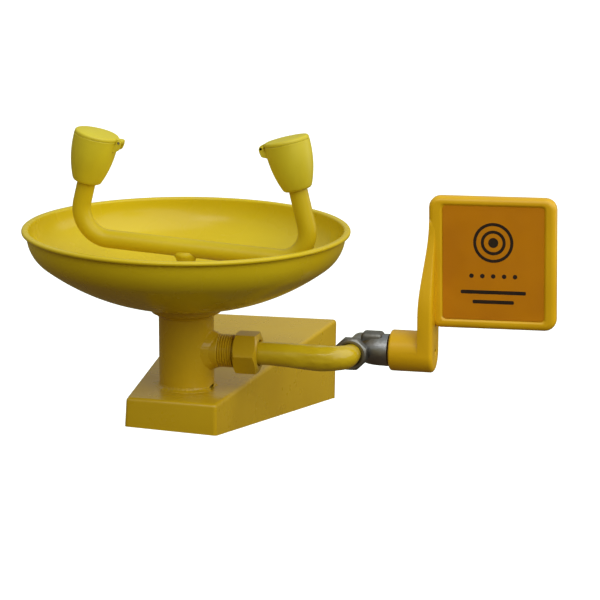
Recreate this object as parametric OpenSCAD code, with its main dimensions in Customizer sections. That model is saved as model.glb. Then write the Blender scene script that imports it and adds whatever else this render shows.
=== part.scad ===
// Wall-hung emergency eyewash: a drain bowl on a short column and a folded
// sheet bracket, two capped spray heads on a bent yoke, and a side ball valve
// turned by an upright push paddle.
// Lengths are in millimetres. The wall is the plane y = 0, the user stands at
// negative y, and the origin is the centre of the wall bolt pattern.

/* [Wall bracket] */
// Distance from the wall to the column axis
wall_dist = 290; // [240:1:340]
// Bracket overhang in front of the column axis
bracket_front = 59; // [45:1:80]
// Bracket width at its front face
bracket_front_w = 84; // [72:1:110]
// Bracket width at the wall
bracket_rear_w = 152; // [130:1:190]
// Bracket height at its front face
bracket_front_h = 28; // [26:1:45]
// Bracket height at the wall
bracket_rear_h = 82; // [70:1:110]
// Bracket sheet thickness
sheet_t = 2; // [1.5:0.1:3]
// Wall plate thickness
wall_plate_t = 3; // [2:0.5:6]
// Wall bolt hole diameter, for M8 anchors
wall_hole_d = 9; // [7:0.5:11]
// Wall bolt spacing across
wall_bolt_x = 110; // [90:1:118]
// Wall bolt spacing up and down
wall_bolt_z = 46; // [36:1:50]

/* [Column and drain] */
// Column tube outside diameter
column_od = 51; // [48:0.5:54]
// Column tube wall
column_t = 2; // [1.5:0.1:2.5]
// Column height above the bracket
column_h = 76.5; // [68:0.5:90]
// Height of the tapered stretch below a column head of another diameter
swage_h = 8; // [5:0.5:9]
// Weld bead leg at the column base
weld_leg = 3.5; // [2:0.5:5]
// Outside diameter of the bowl collar and of the strainer flange above it
collar_od = 64; // [60:0.5:68]
// Collar ledge outside the column head, which the strainer screws go through
collar_ledge = 6.5; // [5.8:0.1:8]
// Bowl collar height
collar_h = 7.5; // [6:0.5:10]
// Height of the collar's straight rim
collar_rim = 3; // [2:0.5:4]
// Bowl gasket thickness
gasket_t = 1.5; // [1:0.1:2.5]
// Waste pipe outside diameter
waste_od = 42.4; // [38:0.1:43]
// Waste pipe wall
waste_t = 2.6; // [2:0.1:3.5]
// Waste pipe length below the bracket top
waste_drop = 24; // [16:1:26]
// Strainer flange thickness
strainer_t = 2; // [1.5:0.1:3]
// Strainer skirt depth below the bowl floor
strainer_skirt = 9; // [6:0.5:12]
// Number of strainer holes
strainer_holes = 10; // [6:1:12]
// Strainer hole diameter
strainer_hole_d = 5.4; // [4:0.2:5.6]
// Strainer screw thread diameter
strainer_screw_d = 4; // [3:0.5:4]
// Strainer screw head diameter
strainer_head_d = 6.4; // [5:0.2:6.6]
// Strainer screw head height
strainer_head_h = 2; // [1:0.2:3]
// Number of strainer screws
strainer_screws_n = 3; // [3:1:4]

/* [Bowl] */
// Bowl diameter over the lip
bowl_od = 300; // [280:1:320]
// Bowl depth from lip to seat
bowl_depth = 70; // [62:1:78]
// Bowl sheet thickness
bowl_t = 2; // [1.5:0.1:3]
// Knuckle radius between wall and dish
knuckle_r = 32; // [24:1:38]
// Depth of the straight wall under the lip
rim_drop = 4.5; // [4:0.5:8]
// Lip overhang outside the wall
lip_w = 4.5; // [3:0.5:6]
// Lip thickness
lip_t = 4; // [3:0.5:4]
// Flat seat under the bowl beyond the edge of the collar
seat_margin = 1; // [0.5:0.1:3]
// Drain hole diameter
drain_d = 40; // [36:0.5:42]

/* [Yoke] */
// Yoke and feed tube outside diameter
yoke_od = 17.1; // [16:0.1:18]
// Yoke tube wall
yoke_t = 2.3; // [1.5:0.1:2.8]
// Height of the yoke bar above the bracket
yoke_z = 132; // [128:1:140]
// Bend centreline radius
yoke_bend_r = 28; // [24:1:34]
// Reach of the left riser from the column axis
reach_left = 100; // [90:0.5:112]
// Reach of the right riser from the column axis
reach_right = 112; // [90:0.5:118]
// Inward lean of the risers
head_lean = 13.5; // [5:0.5:20]
// Straight riser length below the spray cup
riser_len = 22.5; // [16:0.5:28]
// Length of the stub under the yoke bar
stub_len = 24; // [18:1:30]
// Flare of the stub where it meets the bar
stub_flare = 3.4; // [2:0.2:4]

/* [Spray heads] */
// Cup radius at its mouth
cup_r = 20.9; // [19.8:0.1:23]
// Cup radius at its base
cup_base_r = 12.6; // [11.5:0.1:15]
// Cup height
cup_h = 42; // [38:0.5:48]
// Straight rim height at the mouth
cup_rim = 3; // [2:0.5:6]
// Rounding at the cup base
cup_round = 3; // [2:0.5:4]
// Mouth bore radius
mouth_r = 17.6; // [17:0.1:18]
// Mouth bore depth to the ledge
mouth_depth = 6.5; // [5:0.5:9]
// Inner chamber radius
chamber_r = 14.5; // [13:0.5:15]
// Depth the tube enters the cup
socket_depth = 10; // [8:0.5:12]
// Spray disc thickness
disc_t = 2.5; // [2:0.1:3.5]
// Spray hole diameter
jet_d = 2.2; // [1.5:0.1:2.6]
// Distance between the rings of spray holes
jet_pitch = 5.75; // [4:0.25:5.75]
// Number of rings of spray holes round the middle one
jet_rings = 2; // [1:1:2]
// Lid radius
lid_r = 20.5; // [19.5:0.1:20.8]
// Lid thickness
lid_t = 5; // [4:0.2:6]
// Lid top edge chamfer
lid_edge = 1.2; // [0.5:0.1:1.8]
// Depth of the plug under the lid
lid_plug = 2; // [1:0.2:3]
// Gap between lid and cup
lid_gap = 0.3; // [0.3:0.05:0.6]
// Hinge pin distance from the head axis
pin_u = 23.4; // [23.2:0.1:24.4]
// Hinge pin diameter
pin_d = 2.4; // [2:0.1:2.6]
// Width of the lid's hinge tongue
tongue_w = 8; // [6:0.5:10]
// Thickness of each hinge ear
ear_t = 3; // [2:0.2:4]
// Radius of each hinge ear
ear_r = 2.4; // [2.2:0.1:2.5]
// Height of the ear root below the cup mouth
ear_root_h = 10; // [7:0.5:14]

/* [Side port and supply] */
// Height of the supply axis above the bracket
port_z = 35.5; // [32:0.5:42]
// Weld boss diameter on the column
boss_d = 35; // [32:0.5:38]
// Outer end of the weld boss from the column axis
boss_x = 30; // [29:0.5:33]
// Union thread outside diameter
union_d = 30; // [27:0.5:31]
// Union thread pitch
union_pitch = 2.3; // [1.8:0.1:2.8]
// Union thread depth
union_thread = 1; // [0.6:0.1:1.3]
// Nipple tube outside diameter
nipple_od = 21.3; // [19:0.1:22]
// Nipple bore
nipple_bore = 15.8; // [12:0.1:16.5]
// Inner end of the nipple from the column axis
nipple_x = 8; // [7:0.5:10]
// Start of the union nut from the column axis
nut_x = 48; // [44:0.5:52]
// Union nut length
nut_len = 24; // [20:0.5:28]
// Union nut size across flats
nut_af = 36; // [35:0.5:41]
// Union nut chamfer
nut_chamfer = 2; // [1:0.2:3]
// Thickness of the nut's inner lip
nut_lip = 4.5; // [3:0.5:6]
// Union gasket thickness
union_gasket_t = 2; // [1:0.2:3]
// Pipe collar thickness
pipe_collar_t = 3.5; // [2:0.5:5]
// Pipe collar diameter
pipe_collar_d = 27; // [25:0.5:29]
// Supply pipe outside diameter
pipe_od = 21.3; // [20:0.1:22]
// Supply pipe wall
pipe_t = 2.8; // [2:0.1:3.2]
// Feed elbow outside diameter
elbow_d = 26; // [25:0.5:28]

/* [Ball valve] */
// Valve axis distance from the column axis
valve_x = 153; // [140:0.5:165]
// Stem axis distance behind the column axis
stem_y = 40; // [37:0.5:50]
// Front face of the valve ahead of the stem axis
valve_front = 23; // [22:0.5:25]
// Octagon size across flats
valve_af = 30; // [29:0.5:34]
// Length of the octagon end
valve_end_len = 8; // [6:0.5:8]
// Valve barrel diameter
valve_barrel_d = 25; // [24:0.5:29]
// Rear end of the ball chamber behind the stem axis
chamber_rear = 11; // [10:0.5:13]
// Diameter of the inlet boss at the rear
inlet_boss_d = 24; // [22.5:0.5:26]
// Length of the inlet boss
inlet_len = 8; // [7:0.5:12]
// Stem neck diameter
neck_d = 29.5; // [26:0.5:29.5]
// Inner face of the stem neck from the flow axis
neck_x = 4; // [2:0.5:6]
// Stem neck reach from the flow axis
neck_len = 26.5; // [24:0.5:27]
// Stop pad height above the stem axis
pad_z = 17.5; // [16.5:0.1:19]
// Stop pad width along the flow
pad_w = 13; // [9:0.5:16]
// Stop pad corner radius
pad_round = 2.5; // [1:0.5:4]
// Ball diameter
ball_d = 18; // [17:0.5:18.5]
// Ball bore diameter
ball_bore = 10.5; // [9:0.5:11]
// Ball chamber diameter
chamber_d = 20; // [19.5:0.5:20.5]
// Gap between ball and seats
seat_gap = 0.3; // [0.25:0.05:0.5]
// Seat bore diameter
seat_bore = 12; // [11:0.5:13]
// Rear port thread bore diameter
inlet_d = 18.6; // [18:0.1:19.2]
// Web behind the front pipe socket
cap_web = 1.5; // [1:0.1:2.5]
// Stem diameter
stem_d = 10; // [9:0.5:11]
// Stem depth in the ball from the flow axis
stem_foot = 6.5; // [6.2:0.1:7]
// Stem bore land length outside the chamber
stem_land = 5; // [4:0.5:6]
// Packing outside diameter
packing_d = 16; // [14:0.5:17]
// Packing height
packing_h = 5; // [4:0.5:6]
// Square drive size across flats
drive_af = 7; // [6.5:0.1:7.2]
// Square drive end from the flow axis
drive_end = 52; // [46:0.5:56]
// Gland nut stand out of the neck
gland_out = 1; // [0.5:0.1:1.5]

/* [Push paddle] */
// Hub diameter
hub_d = 38; // [36:0.5:40]
// Hub inner end from the column axis
hub_x = 182.3; // [181.5:0.1:184]
// Hub outer end from the column axis
hub_end_x = 225; // [220:0.5:232]
// Hub inner edge chamfer
hub_chamfer = 3; // [1:0.5:4]
// Arm inner face at the hub, from the column axis
arm_x = 212.2; // [208:0.2:216]
// Paddle left edge from the column axis
paddle_x = 219.5; // [217:0.5:222]
// Paddle width
paddle_w = 117; // [100:1:130]
// Paddle height
paddle_h = 119.5; // [110:0.5:140]
// Paddle lower edge above the stem axis
paddle_low = 26.5; // [24:0.5:34]
// Paddle thickness
paddle_t = 11; // [9:0.5:13]
// Paddle corner radius
paddle_round = 8; // [4:0.5:12]
// Height above the stem axis where the arm starts to taper
taper_low = 55; // [48:1:66]
// Height above the stem axis where the arm taper ends
taper_high = 114; // [100:1:126]
// Steps in the arm taper
taper_steps = 8; // [4:1:12]
// Left border of the label recess
border_left = 12.5; // [10:0.5:16]
// Right border of the label recess
border_right = 10; // [7:0.5:14]
// Top border of the label recess
border_top = 7.2; // [6:0.2:12]
// Bottom border of the label recess
border_low = 7; // [6:0.2:12]
// Label recess depth
recess_d = 1.8; // [1.4:0.1:2.5]
// Label recess corner radius
recess_round = 3; // [2:0.5:6]
// Label plate thickness
label_t = 0.8; // [0.5:0.1:1.2]
// Depth of the panel moulded in the back
back_d = 2; // [1:0.5:3]
// Border of the back panel
back_border = 9; // [6:0.5:14]
// Handle screw diameter
screw_d = 5; // [4:0.5:5]
// Handle screw length
screw_len = 24; // [18:0.5:26]
// Depth of the screw below the hub face
screw_deep = 2.5; // [1:0.5:5]
// Screw socket size across flats
screw_af = 2.5; // [2:0.1:3]
// Screw socket depth
screw_socket = 2.5; // [1.5:0.5:3]

/* [Hidden] */
$fn = 96;

// Overrun of a cut past the face it opens
cut = 1;
// Gap between fixed pieces that slide together
fit = 0.05;
// Radial gap of a shaft that turns in a bore
run_fit = 0.05;
// Side gap of a hinge tongue between its ears
hinge_gap = 0.3;
// Gap round a loose label or nut
loose = 0.2;
// Step from a tube to the thinner stub that stands on it
stub_step = 0.3;
// Step between two bores that cross, so that they do not run tangent
bore_step = 0.4;
// Gap round the gland nut in the hub
gland_gap = 1;
// Share of the thread pitch that a groove's mouth takes
groove_share = 0.8;
// Segments in each arc of a turned profile
arc_steps = 14;

bracket_len = wall_dist + bracket_front;
bracket_top = bracket_rear_h / 2;
taper_angle = atan((bracket_rear_w - bracket_front_w) / 2 / bracket_len);
side_inset = sheet_t / cos(taper_angle);

column_r = column_od / 2;
column_bore_r = column_r - column_t;
// The column head fills the collar inside its ledge.
head_r = collar_od / 2 - collar_ledge;
head_z = column_h - collar_h;
seat_r = collar_od / 2 + seat_margin;
seat_z = column_h + gasket_t;
floor_z = seat_z + bowl_t;
rim_z = seat_z + bowl_depth;
screw_ring_r = head_r + collar_ledge / 2;
strainer_ring_r = (drain_d / 2 - fit - strainer_t + yoke_od / 2) / 2;

bowl_r = bowl_od / 2;
wall_r = bowl_r - lip_w;
lip_h = min(lip_t, rim_drop);
knuckle_cx = wall_r - knuckle_r;
// The dish arc is centred on the bowl axis, meets the flat seat at its edge
// and runs smoothly into the knuckle arc.
dish_k0 = seat_r * seat_r + bowl_depth * bowl_depth + knuckle_r * knuckle_r
    - knuckle_cx * knuckle_cx - rim_drop * rim_drop;
dish_k1 = 2 * (bowl_depth - rim_drop);
dish_qa = dish_k1 * dish_k1 - 4 * knuckle_r * knuckle_r;
dish_qb = 2 * dish_k0 * dish_k1 - 8 * knuckle_r * knuckle_r * bowl_depth;
dish_qc = dish_k0 * dish_k0 - 4 * knuckle_r * knuckle_r * (seat_r * seat_r + bowl_depth * bowl_depth);
dish_cz = (sqrt(dish_qb * dish_qb - 4 * dish_qa * dish_qc) - dish_qb) / (2 * dish_qa);
dish_r = sqrt(seat_r * seat_r + (dish_cz + bowl_depth) * (dish_cz + bowl_depth));
dish_turn = atan2(knuckle_cx, dish_cz + rim_drop);

yoke_r = yoke_od / 2;
yoke_bore_r = yoke_r - yoke_t;
stub_r = yoke_r - stub_step;
stub_bore_r = yoke_bore_r - bore_step;
stub_low = yoke_z - yoke_r - stub_len;

cup_side_h = cup_h - cup_rim;
cup_drop = cup_r - cup_base_r;
cup_arc_r = (cup_side_h * cup_side_h + cup_drop * cup_drop) / (2 * cup_drop);
ledge_s = cup_h - mouth_depth;
lid_low = cup_h + lid_gap;
lid_top = lid_low + lid_t;
pin_s = lid_low + lid_t / 2;
ear_y = tongue_w / 2 + hinge_gap;

nut_end = nut_x + nut_len;
collar_x = nut_end - nut_lip - pipe_collar_t;
nipple_end = collar_x - union_gasket_t;
thread_turns = floor((nut_x - boss_x) / union_pitch);
pipe_r = pipe_od / 2;
// The pipe bend ends at the mouth of the valve socket.
pipe_bend_r = stem_y - valve_front;
elbow_r = elbow_d / 2;

chamber_r_v = chamber_d / 2;
cap_y = valve_front - valve_end_len;
barrel_r = valve_barrel_d / 2;
packing_x = chamber_r_v + stem_land;
gland_x = packing_x + packing_h;
pipe_stop_y = cap_y + cap_web;
screw_end = hub_end_x - valve_x - screw_deep;

label_w = paddle_w - border_left - border_right;
label_h = paddle_h - border_top - border_low;

yellow = [0.93, 0.77, 0.06];
amber = [0.95, 0.66, 0.05];
orange = [0.80, 0.42, 0.03];
steel = [0.62, 0.62, 0.64];
white = [0.92, 0.92, 0.90];
black = [0.10, 0.10, 0.10];

wall_plate();
bracket_shell();
waste_tail();
column();
bowl_collar();
bowl_gasket();
bowl();
strainer();
strainer_screws();
feed_elbow();
feed_riser();
side_nipple();
union_gasket();
union_nut();
supply_pipe();
valve_body();
valve_end_cap();
ball_seats();
valve_ball();
valve_stem();
stem_packing();
gland_nut();
push_handle();
label_plate();
handle_screw();
yoke_tube();
spray_cup_left();
spray_cup_right();
spray_disc_left();
spray_disc_right();
lid_pin_left();
lid_pin_right();
dust_lid_left();
dust_lid_right();

// Frames. The column frame has its origin on the column axis at the bracket
// top; the valve frame has x along the stem and y along the flow.
module at_column() {
    translate([0, -wall_dist, bracket_top]) children();
}

module at_port() {
    at_column() translate([0, 0, port_z]) children();
}

module at_valve() {
    at_port() translate([valve_x, stem_y, 0]) children();
}

module at_stem() {
    at_port() translate([0, stem_y, 0]) children();
}

// Turns z into x, so that a cylinder lies along the supply or stem axis.
module along_x() {
    rotate([0, 90, 0]) children();
}

// Turns z into y, so that a cylinder lies along the flow axis.
module along_y() {
    rotate([-90, 0, 0]) children();
}

module ring(r_out, r_in, z_low, z_high) {
    difference() {
        translate([0, 0, z_low]) cylinder(r = r_out, h = z_high - z_low);
        translate([0, 0, z_low - cut]) cylinder(r = r_in, h = z_high - z_low + 2 * cut);
    }
}

// A flat plate outline with round corners, from its lower left corner.
module round_plate(w, h, r) {
    translate([r, 0]) square([w - 2 * r, h]);
    translate([0, r]) square([w, h - 2 * r]);
    for (x = [r, w - r], y = [r, h - r]) {
        translate([x, y]) circle(r);
    }
}

function arc(cx, cy, r, from, to) =
    [for (i = [0 : arc_steps]) let (a = from + (to - from) * i / arc_steps) [cx + r * cos(a), cy + r * sin(a)]];

function tail(points) = [for (i = [1 : len(points) - 1]) points[i]];

function backwards(points) = [for (i = [len(points) - 1 : -1 : 0]) points[i]];

function bracket_half_w(d) = (bracket_rear_w + (bracket_front_w - bracket_rear_w) * d / bracket_len) / 2;

// Steel back plate that bolts to the wall.
module wall_plate() {
    color(yellow)
    difference() {
        translate([-bracket_rear_w / 2, -wall_plate_t, -bracket_rear_h / 2])
            cube([bracket_rear_w, wall_plate_t, bracket_rear_h]);
        for (x = [-wall_bolt_x / 2, wall_bolt_x / 2], z = [-wall_bolt_z / 2, wall_bolt_z / 2]) {
            translate([x, cut, z])
                rotate([90, 0, 0])
                    cylinder(d = wall_hole_d, h = wall_plate_t + 2 * cut);
        }
    }
}

// Folded sheet bracket: a tapered top, two sloping sides and a front, open
// below and welded to the wall plate behind.
module bracket_shell() {
    front_y = -bracket_len;
    rear_y = -wall_plate_t;
    color(yellow)
    difference() {
        intersection() {
            translate([0, 0, bracket_top - bracket_rear_h])
                linear_extrude(bracket_rear_h)
                    polygon([[-bracket_half_w(-rear_y), rear_y], [-bracket_front_w / 2, front_y],
                        [bracket_front_w / 2, front_y], [bracket_half_w(-rear_y), rear_y]]);
            translate([-bracket_rear_w / 2, 0, 0])
                rotate([90, 0, 90])
                    linear_extrude(bracket_rear_w)
                        polygon([[0, bracket_top], [0, bracket_top - bracket_rear_h],
                            [front_y, bracket_top - bracket_front_h], [front_y, bracket_top]]);
        }
        translate([0, 0, bracket_top - bracket_rear_h - cut])
            linear_extrude(bracket_rear_h + cut - sheet_t)
                polygon([[side_inset - bracket_half_w(-cut), cut],
                    [side_inset - bracket_half_w(bracket_len - sheet_t), front_y + sheet_t],
                    [bracket_half_w(bracket_len - sheet_t) - side_inset, front_y + sheet_t],
                    [bracket_half_w(-cut) - side_inset, cut]]);
        at_column()
            translate([0, 0, -sheet_t - cut])
                cylinder(d = waste_od - 2 * waste_t, h = sheet_t + 2 * cut);
    }
}

// Waste pipe stub welded under the bracket top, below the column.
module waste_tail() {
    color(yellow)
    at_column()
        ring(waste_od / 2, waste_od / 2 - waste_t, -waste_drop, -sheet_t);
}

// Column tube with the weld bead at its foot, the side port hole, and a head
// that tapers to the collar where the two diameters differ.
module column() {
    color(yellow)
    at_column()
        difference() {
            union() {
                rotate_extrude()
                    polygon([[column_bore_r, 0], [column_r, 0], [column_r, head_z - swage_h], [head_r, head_z],
                        [head_r, column_h], [head_r - column_t, column_h], [head_r - column_t, head_z],
                        [column_bore_r, head_z - swage_h]]);
                rotate_extrude()
                    polygon([[column_r - column_t / 2, 0], [column_r + weld_leg, 0],
                        [column_r + weld_leg / 3, weld_leg / 3], [column_r, weld_leg],
                        [column_r - column_t / 2, weld_leg]]);
            }
            translate([0, 0, port_z])
                along_x()
                    cylinder(d = nipple_od, h = column_od);
        }
}

// Collar welded round the column head, tapered to the tube below.
module bowl_collar() {
    color(yellow)
    at_column()
        difference() {
            union() {
                translate([0, 0, column_h - collar_rim])
                    cylinder(d = collar_od, h = collar_rim);
                translate([0, 0, head_z])
                    cylinder(r1 = head_r + sheet_t / 2, r2 = collar_od / 2, h = collar_h - collar_rim);
            }
            translate([0, 0, head_z - cut])
                cylinder(r = head_r, h = collar_h + 2 * cut);
            strainer_screw_ring(head_z - cut, seat_z + cut, strainer_screw_d / 2);
        }
}

// The ring of upright screw positions through strainer, bowl and collar.
module strainer_screw_ring(z_low, z_high, r) {
    for (i = [0 : strainer_screws_n - 1]) {
        rotate(90 + 360 * i / strainer_screws_n)
            translate([screw_ring_r, 0, z_low])
                cylinder(r = r, h = z_high - z_low);
    }
}

module bowl_gasket() {
    color(black)
    at_column()
        difference() {
            ring(collar_od / 2, drain_d / 2, column_h, seat_z);
            strainer_screw_ring(column_h - cut, seat_z + cut, strainer_screw_d / 2);
        }
}

// Half section of the bowl skin, set in from the outside by the sheet
// thickness or by nothing, from the seat edge up to the straight wall.
function bowl_skin(inset) =
    let (floor_turn = acos((dish_cz + bowl_depth - inset) / (dish_r - inset)))
    concat(arc(0, dish_cz, dish_r - inset, 270 + floor_turn, 270 + dish_turn),
        tail(arc(knuckle_cx, -rim_drop, knuckle_r - inset, 270 + dish_turn, 360)));

// Spun bowl: flat seat, shallow dish, knuckle and an outturned rolled lip.
module bowl() {
    lip_r = lip_h / 2;
    outer_lip = arc(bowl_r - lip_r, -lip_r, lip_r, -90, 90);
    inner_lip = arc(wall_r - bowl_t + lip_r, -lip_r, lip_r, 90, 180);
    color(yellow)
    at_column()
        difference() {
            translate([0, 0, rim_z])
                rotate_extrude()
                    polygon(concat([[drain_d / 2, -bowl_depth]], bowl_skin(0), [[wall_r, -lip_h]], outer_lip,
                        inner_lip, backwards(bowl_skin(bowl_t)), [[drain_d / 2, bowl_t - bowl_depth]]));
            strainer_screw_ring(seat_z - cut, floor_z + cut, strainer_screw_d / 2);
        }
}

// Drain strainer: a flange on the bowl floor, a skirt into the column, and a
// ring of holes round the feed tube.
module strainer() {
    skirt_r = drain_d / 2 - fit;
    color(steel)
    at_column()
        difference() {
            union() {
                translate([0, 0, floor_z]) cylinder(d = collar_od, h = strainer_t);
                ring(skirt_r, skirt_r - strainer_t, floor_z - strainer_skirt, floor_z + strainer_t / 2);
            }
            translate([0, 0, floor_z - cut]) cylinder(r = yoke_r + fit, h = strainer_t + 2 * cut);
            for (i = [0 : strainer_holes - 1]) {
                rotate(360 * i / strainer_holes)
                    translate([strainer_ring_r, 0, floor_z - cut])
                        cylinder(d = strainer_hole_d, h = strainer_t + 2 * cut);
            }
            strainer_screw_ring(floor_z - cut, floor_z + strainer_t + cut, strainer_screw_d / 2);
        }
}

module strainer_screws() {
    flange_z = floor_z + strainer_t;
    color(steel)
    at_column() {
        strainer_screw_ring(head_z + collar_rim, flange_z + strainer_head_h / 2, strainer_screw_d / 2);
        strainer_screw_ring(flange_z, flange_z + strainer_head_h, strainer_head_d / 2);
    }
}

// Elbow inside the column that turns the side feed upward.
module feed_elbow() {
    socket_z = yoke_r;
    end_z = elbow_r + socket_z;
    end_x = nipple_x + elbow_r / 2;
    color(steel)
    at_port()
        difference() {
            union() {
                translate([0, 0, -elbow_r]) cylinder(r = elbow_r, h = elbow_r + end_z);
                along_x() cylinder(r = elbow_r, h = end_x);
            }
            translate([0, 0, -yoke_bore_r]) cylinder(r = yoke_bore_r, h = end_z + 2 * yoke_bore_r);
            translate([0, 0, socket_z]) cylinder(r = yoke_r, h = end_z);
            along_x() cylinder(r = stub_bore_r, h = end_x + cut);
            translate([nipple_x, 0, 0]) along_x() cylinder(d = nipple_od, h = end_x);
        }
}

// Upright feed tube from the elbow to the yoke stub.
module feed_riser() {
    color(yellow)
    at_column()
        ring(yoke_r, yoke_bore_r, port_z + yoke_r, stub_low);
}

// Side port: tube through the column wall, weld boss and union thread.
module side_nipple() {
    color(yellow)
    at_port()
        difference() {
            union() {
                translate([nipple_x, 0, 0]) along_x() cylinder(d = nipple_od, h = boss_x - nipple_x);
                translate([boss_x - cut, 0, 0]) along_x() cylinder(d = union_d, h = nipple_end - boss_x + cut);
                difference() {
                    translate([nipple_x, 0, 0]) along_x() cylinder(d = boss_d, h = boss_x - nipple_x);
                    translate([0, 0, -port_z]) cylinder(r = column_r, h = column_h);
                }
            }
            translate([nipple_x - cut, 0, 0]) along_x() cylinder(d = nipple_bore, h = nipple_end);
            for (i = [0 : thread_turns]) {
                translate([boss_x + union_pitch * (i + 0.5), 0, 0])
                    along_x()
                        thread_groove();
            }
        }
}

// One V groove of the union thread.
module thread_groove() {
    root = union_d / 2 - union_thread;
    half = union_pitch * groove_share / 2;
    rotate_extrude()
        polygon([[root, 0], [union_d / 2 + union_thread, -2 * half], [union_d / 2 + union_thread, 2 * half]]);
}

module union_gasket() {
    color(black)
    at_port()
        along_x()
            ring(pipe_collar_d / 2, nipple_bore / 2, nipple_end, collar_x);
}

// Hexagon union nut with chamfered corners, screwed on the side port.
module union_nut() {
    corner_r = nut_af / 2 / cos(30);
    color(yellow)
    at_port()
        along_x()
            difference() {
                intersection() {
                    translate([0, 0, nut_x]) rotate(30) cylinder(r = corner_r, h = nut_len, $fn = 6);
                    union() {
                        translate([0, 0, nut_x])
                            cylinder(r1 = corner_r - nut_chamfer, r2 = corner_r, h = nut_chamfer);
                        translate([0, 0, nut_x + nut_chamfer])
                            cylinder(r = corner_r, h = nut_len - 2 * nut_chamfer);
                        translate([0, 0, nut_end - nut_chamfer])
                            cylinder(r1 = corner_r, r2 = corner_r - nut_chamfer, h = nut_chamfer);
                    }
                }
                translate([0, 0, nut_x - cut]) cylinder(d = union_d + fit, h = nut_len - nut_lip + cut);
                translate([0, 0, nut_x]) cylinder(r = pipe_r + loose, h = nut_len + cut);
            }
}

// The supply pipe's run at a given radius: along x, round the bend and into
// the valve socket.
module supply_run(r, over) {
    translate([collar_x - over, 0, 0])
        along_x()
            cylinder(r = r, h = valve_x - pipe_bend_r - collar_x + over);
    translate([valve_x - pipe_bend_r, pipe_bend_r, 0])
        rotate(-90)
            rotate_extrude(angle = 90)
                translate([pipe_bend_r, 0])
                    circle(r);
    translate([valve_x, pipe_bend_r, 0])
        along_y()
            cylinder(r = r, h = stem_y - pipe_stop_y - pipe_bend_r + over);
}

// Bent supply pipe with the collar that the union nut pulls on.
module supply_pipe() {
    color(yellow)
    at_port()
        difference() {
            union() {
                supply_run(pipe_r, 0);
                translate([collar_x, 0, 0])
                    along_x()
                        cylinder(d = pipe_collar_d, h = pipe_collar_t);
            }
            supply_run(pipe_r - pipe_t, cut);
        }
}

// An octagon bar along the flow, flats up and down.
module octagon(y_low, y_high) {
    translate([0, y_low, 0])
        along_y()
            rotate(22.5)
                cylinder(r = valve_af / 2 / cos(22.5), h = y_high - y_low, $fn = 8);
}

// Valve body: barrel, rear boss with the inlet thread, stem neck and pad.
module valve_body() {
    color(steel)
    at_valve()
        difference() {
            union() {
                translate([0, chamber_rear - cut, 0]) along_y() cylinder(d = inlet_boss_d, h = inlet_len + cut);
                translate([0, -cap_y, 0]) along_y() cylinder(r = barrel_r, h = cap_y + chamber_rear);
                translate([neck_x, 0, 0]) along_x() cylinder(d = neck_d, h = neck_len - neck_x);
                translate([neck_x + pad_round / 2, -pad_w / 2, 0])
                    linear_extrude(pad_z)
                        round_plate(neck_len - neck_x - pad_round, pad_w, pad_round);
            }
            translate([0, -cap_y - cut, 0]) along_y() cylinder(r = chamber_r_v, h = cap_y + chamber_rear + cut);
            along_y() cylinder(d = inlet_d, h = chamber_rear + inlet_len + cut);
            along_x() cylinder(d = stem_d + 2 * run_fit, h = neck_len);
            translate([packing_x, 0, 0]) along_x() cylinder(d = packing_d, h = neck_len);
        }
}

// Front end of the valve, an octagon with the socket for the supply pipe.
module valve_end_cap() {
    color(steel)
    at_valve()
        difference() {
            octagon(-valve_front, -cap_y);
            translate([0, -valve_front - cut, 0]) along_y() cylinder(d = seat_bore, h = valve_front);
            translate([0, -valve_front - cut, 0])
                along_y()
                    cylinder(r = pipe_r + loose / 2, h = valve_front + cut - pipe_stop_y);
        }
}

// One seat ring, hollowed for the ball, out to the end of the chamber.
module ball_seat(end_y) {
    difference() {
        along_y() ring(chamber_r_v - fit, seat_bore / 2, seat_bore / 2, end_y);
        sphere(d = ball_d + 2 * seat_gap);
    }
}

// Two seat rings that hold the ball from front and back.
module ball_seats() {
    color(white)
    at_valve() {
        ball_seat(chamber_rear);
        mirror([0, 1, 0]) ball_seat(cap_y);
    }
}

// Ball, bored across the flow while the valve is shut.
module valve_ball() {
    color(steel)
    at_valve()
        difference() {
            sphere(d = ball_d);
            translate([0, 0, -ball_d]) cylinder(d = ball_bore, h = 2 * ball_d);
            translate([stem_foot, 0, 0]) along_x() cylinder(d = stem_d, h = ball_d);
        }
}

// Stem from the ball to the square drive in the hub.
module valve_stem() {
    shoulder = neck_len + gland_out;
    color(steel)
    at_valve()
        difference() {
            union() {
                translate([stem_foot, 0, 0]) along_x() cylinder(d = stem_d, h = shoulder - stem_foot);
                translate([shoulder - cut, -drive_af / 2, -drive_af / 2])
                    cube([drive_end - shoulder + cut, drive_af, drive_af]);
            }
            translate([screw_end - screw_len, 0, 0]) along_x() cylinder(d = screw_d, h = screw_len);
        }
}

module stem_packing() {
    color(white)
    at_valve()
        along_x()
            ring(packing_d / 2, stem_d / 2 + run_fit, packing_x, gland_x);
}

module gland_nut() {
    color(steel)
    at_valve()
        along_x()
            ring(packing_d / 2, stem_d / 2 + hinge_gap, gland_x, neck_len + gland_out);
}

// Smooth step from 0 to 1 along the arm taper.
function ease(t) = t * t * (3 - 2 * t);

// Points down one edge of the tapered arm: offset at the hub, offset at the
// top, from the end of the taper to its start.
function taper_edge(at_hub, at_top) =
    [for (i = [taper_steps : -1 : 0]) [at_hub + (at_top - at_hub) * ease(i / taper_steps),
        taper_low + (taper_high - taper_low) * i / taper_steps]];

// Arm seen from the side: as deep as the hub below, as the paddle above.
module arm_side() {
    hub_r = hub_d / 2;
    half_t = paddle_t / 2;
    top = paddle_low + paddle_h - paddle_round;
    circle(hub_r);
    polygon(concat([[half_t, top]], taper_edge(hub_r, half_t), [[hub_r, 0], [-hub_r, 0]],
        backwards(taper_edge(-hub_r, -half_t)), [[-half_t, top]]));
}

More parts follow.
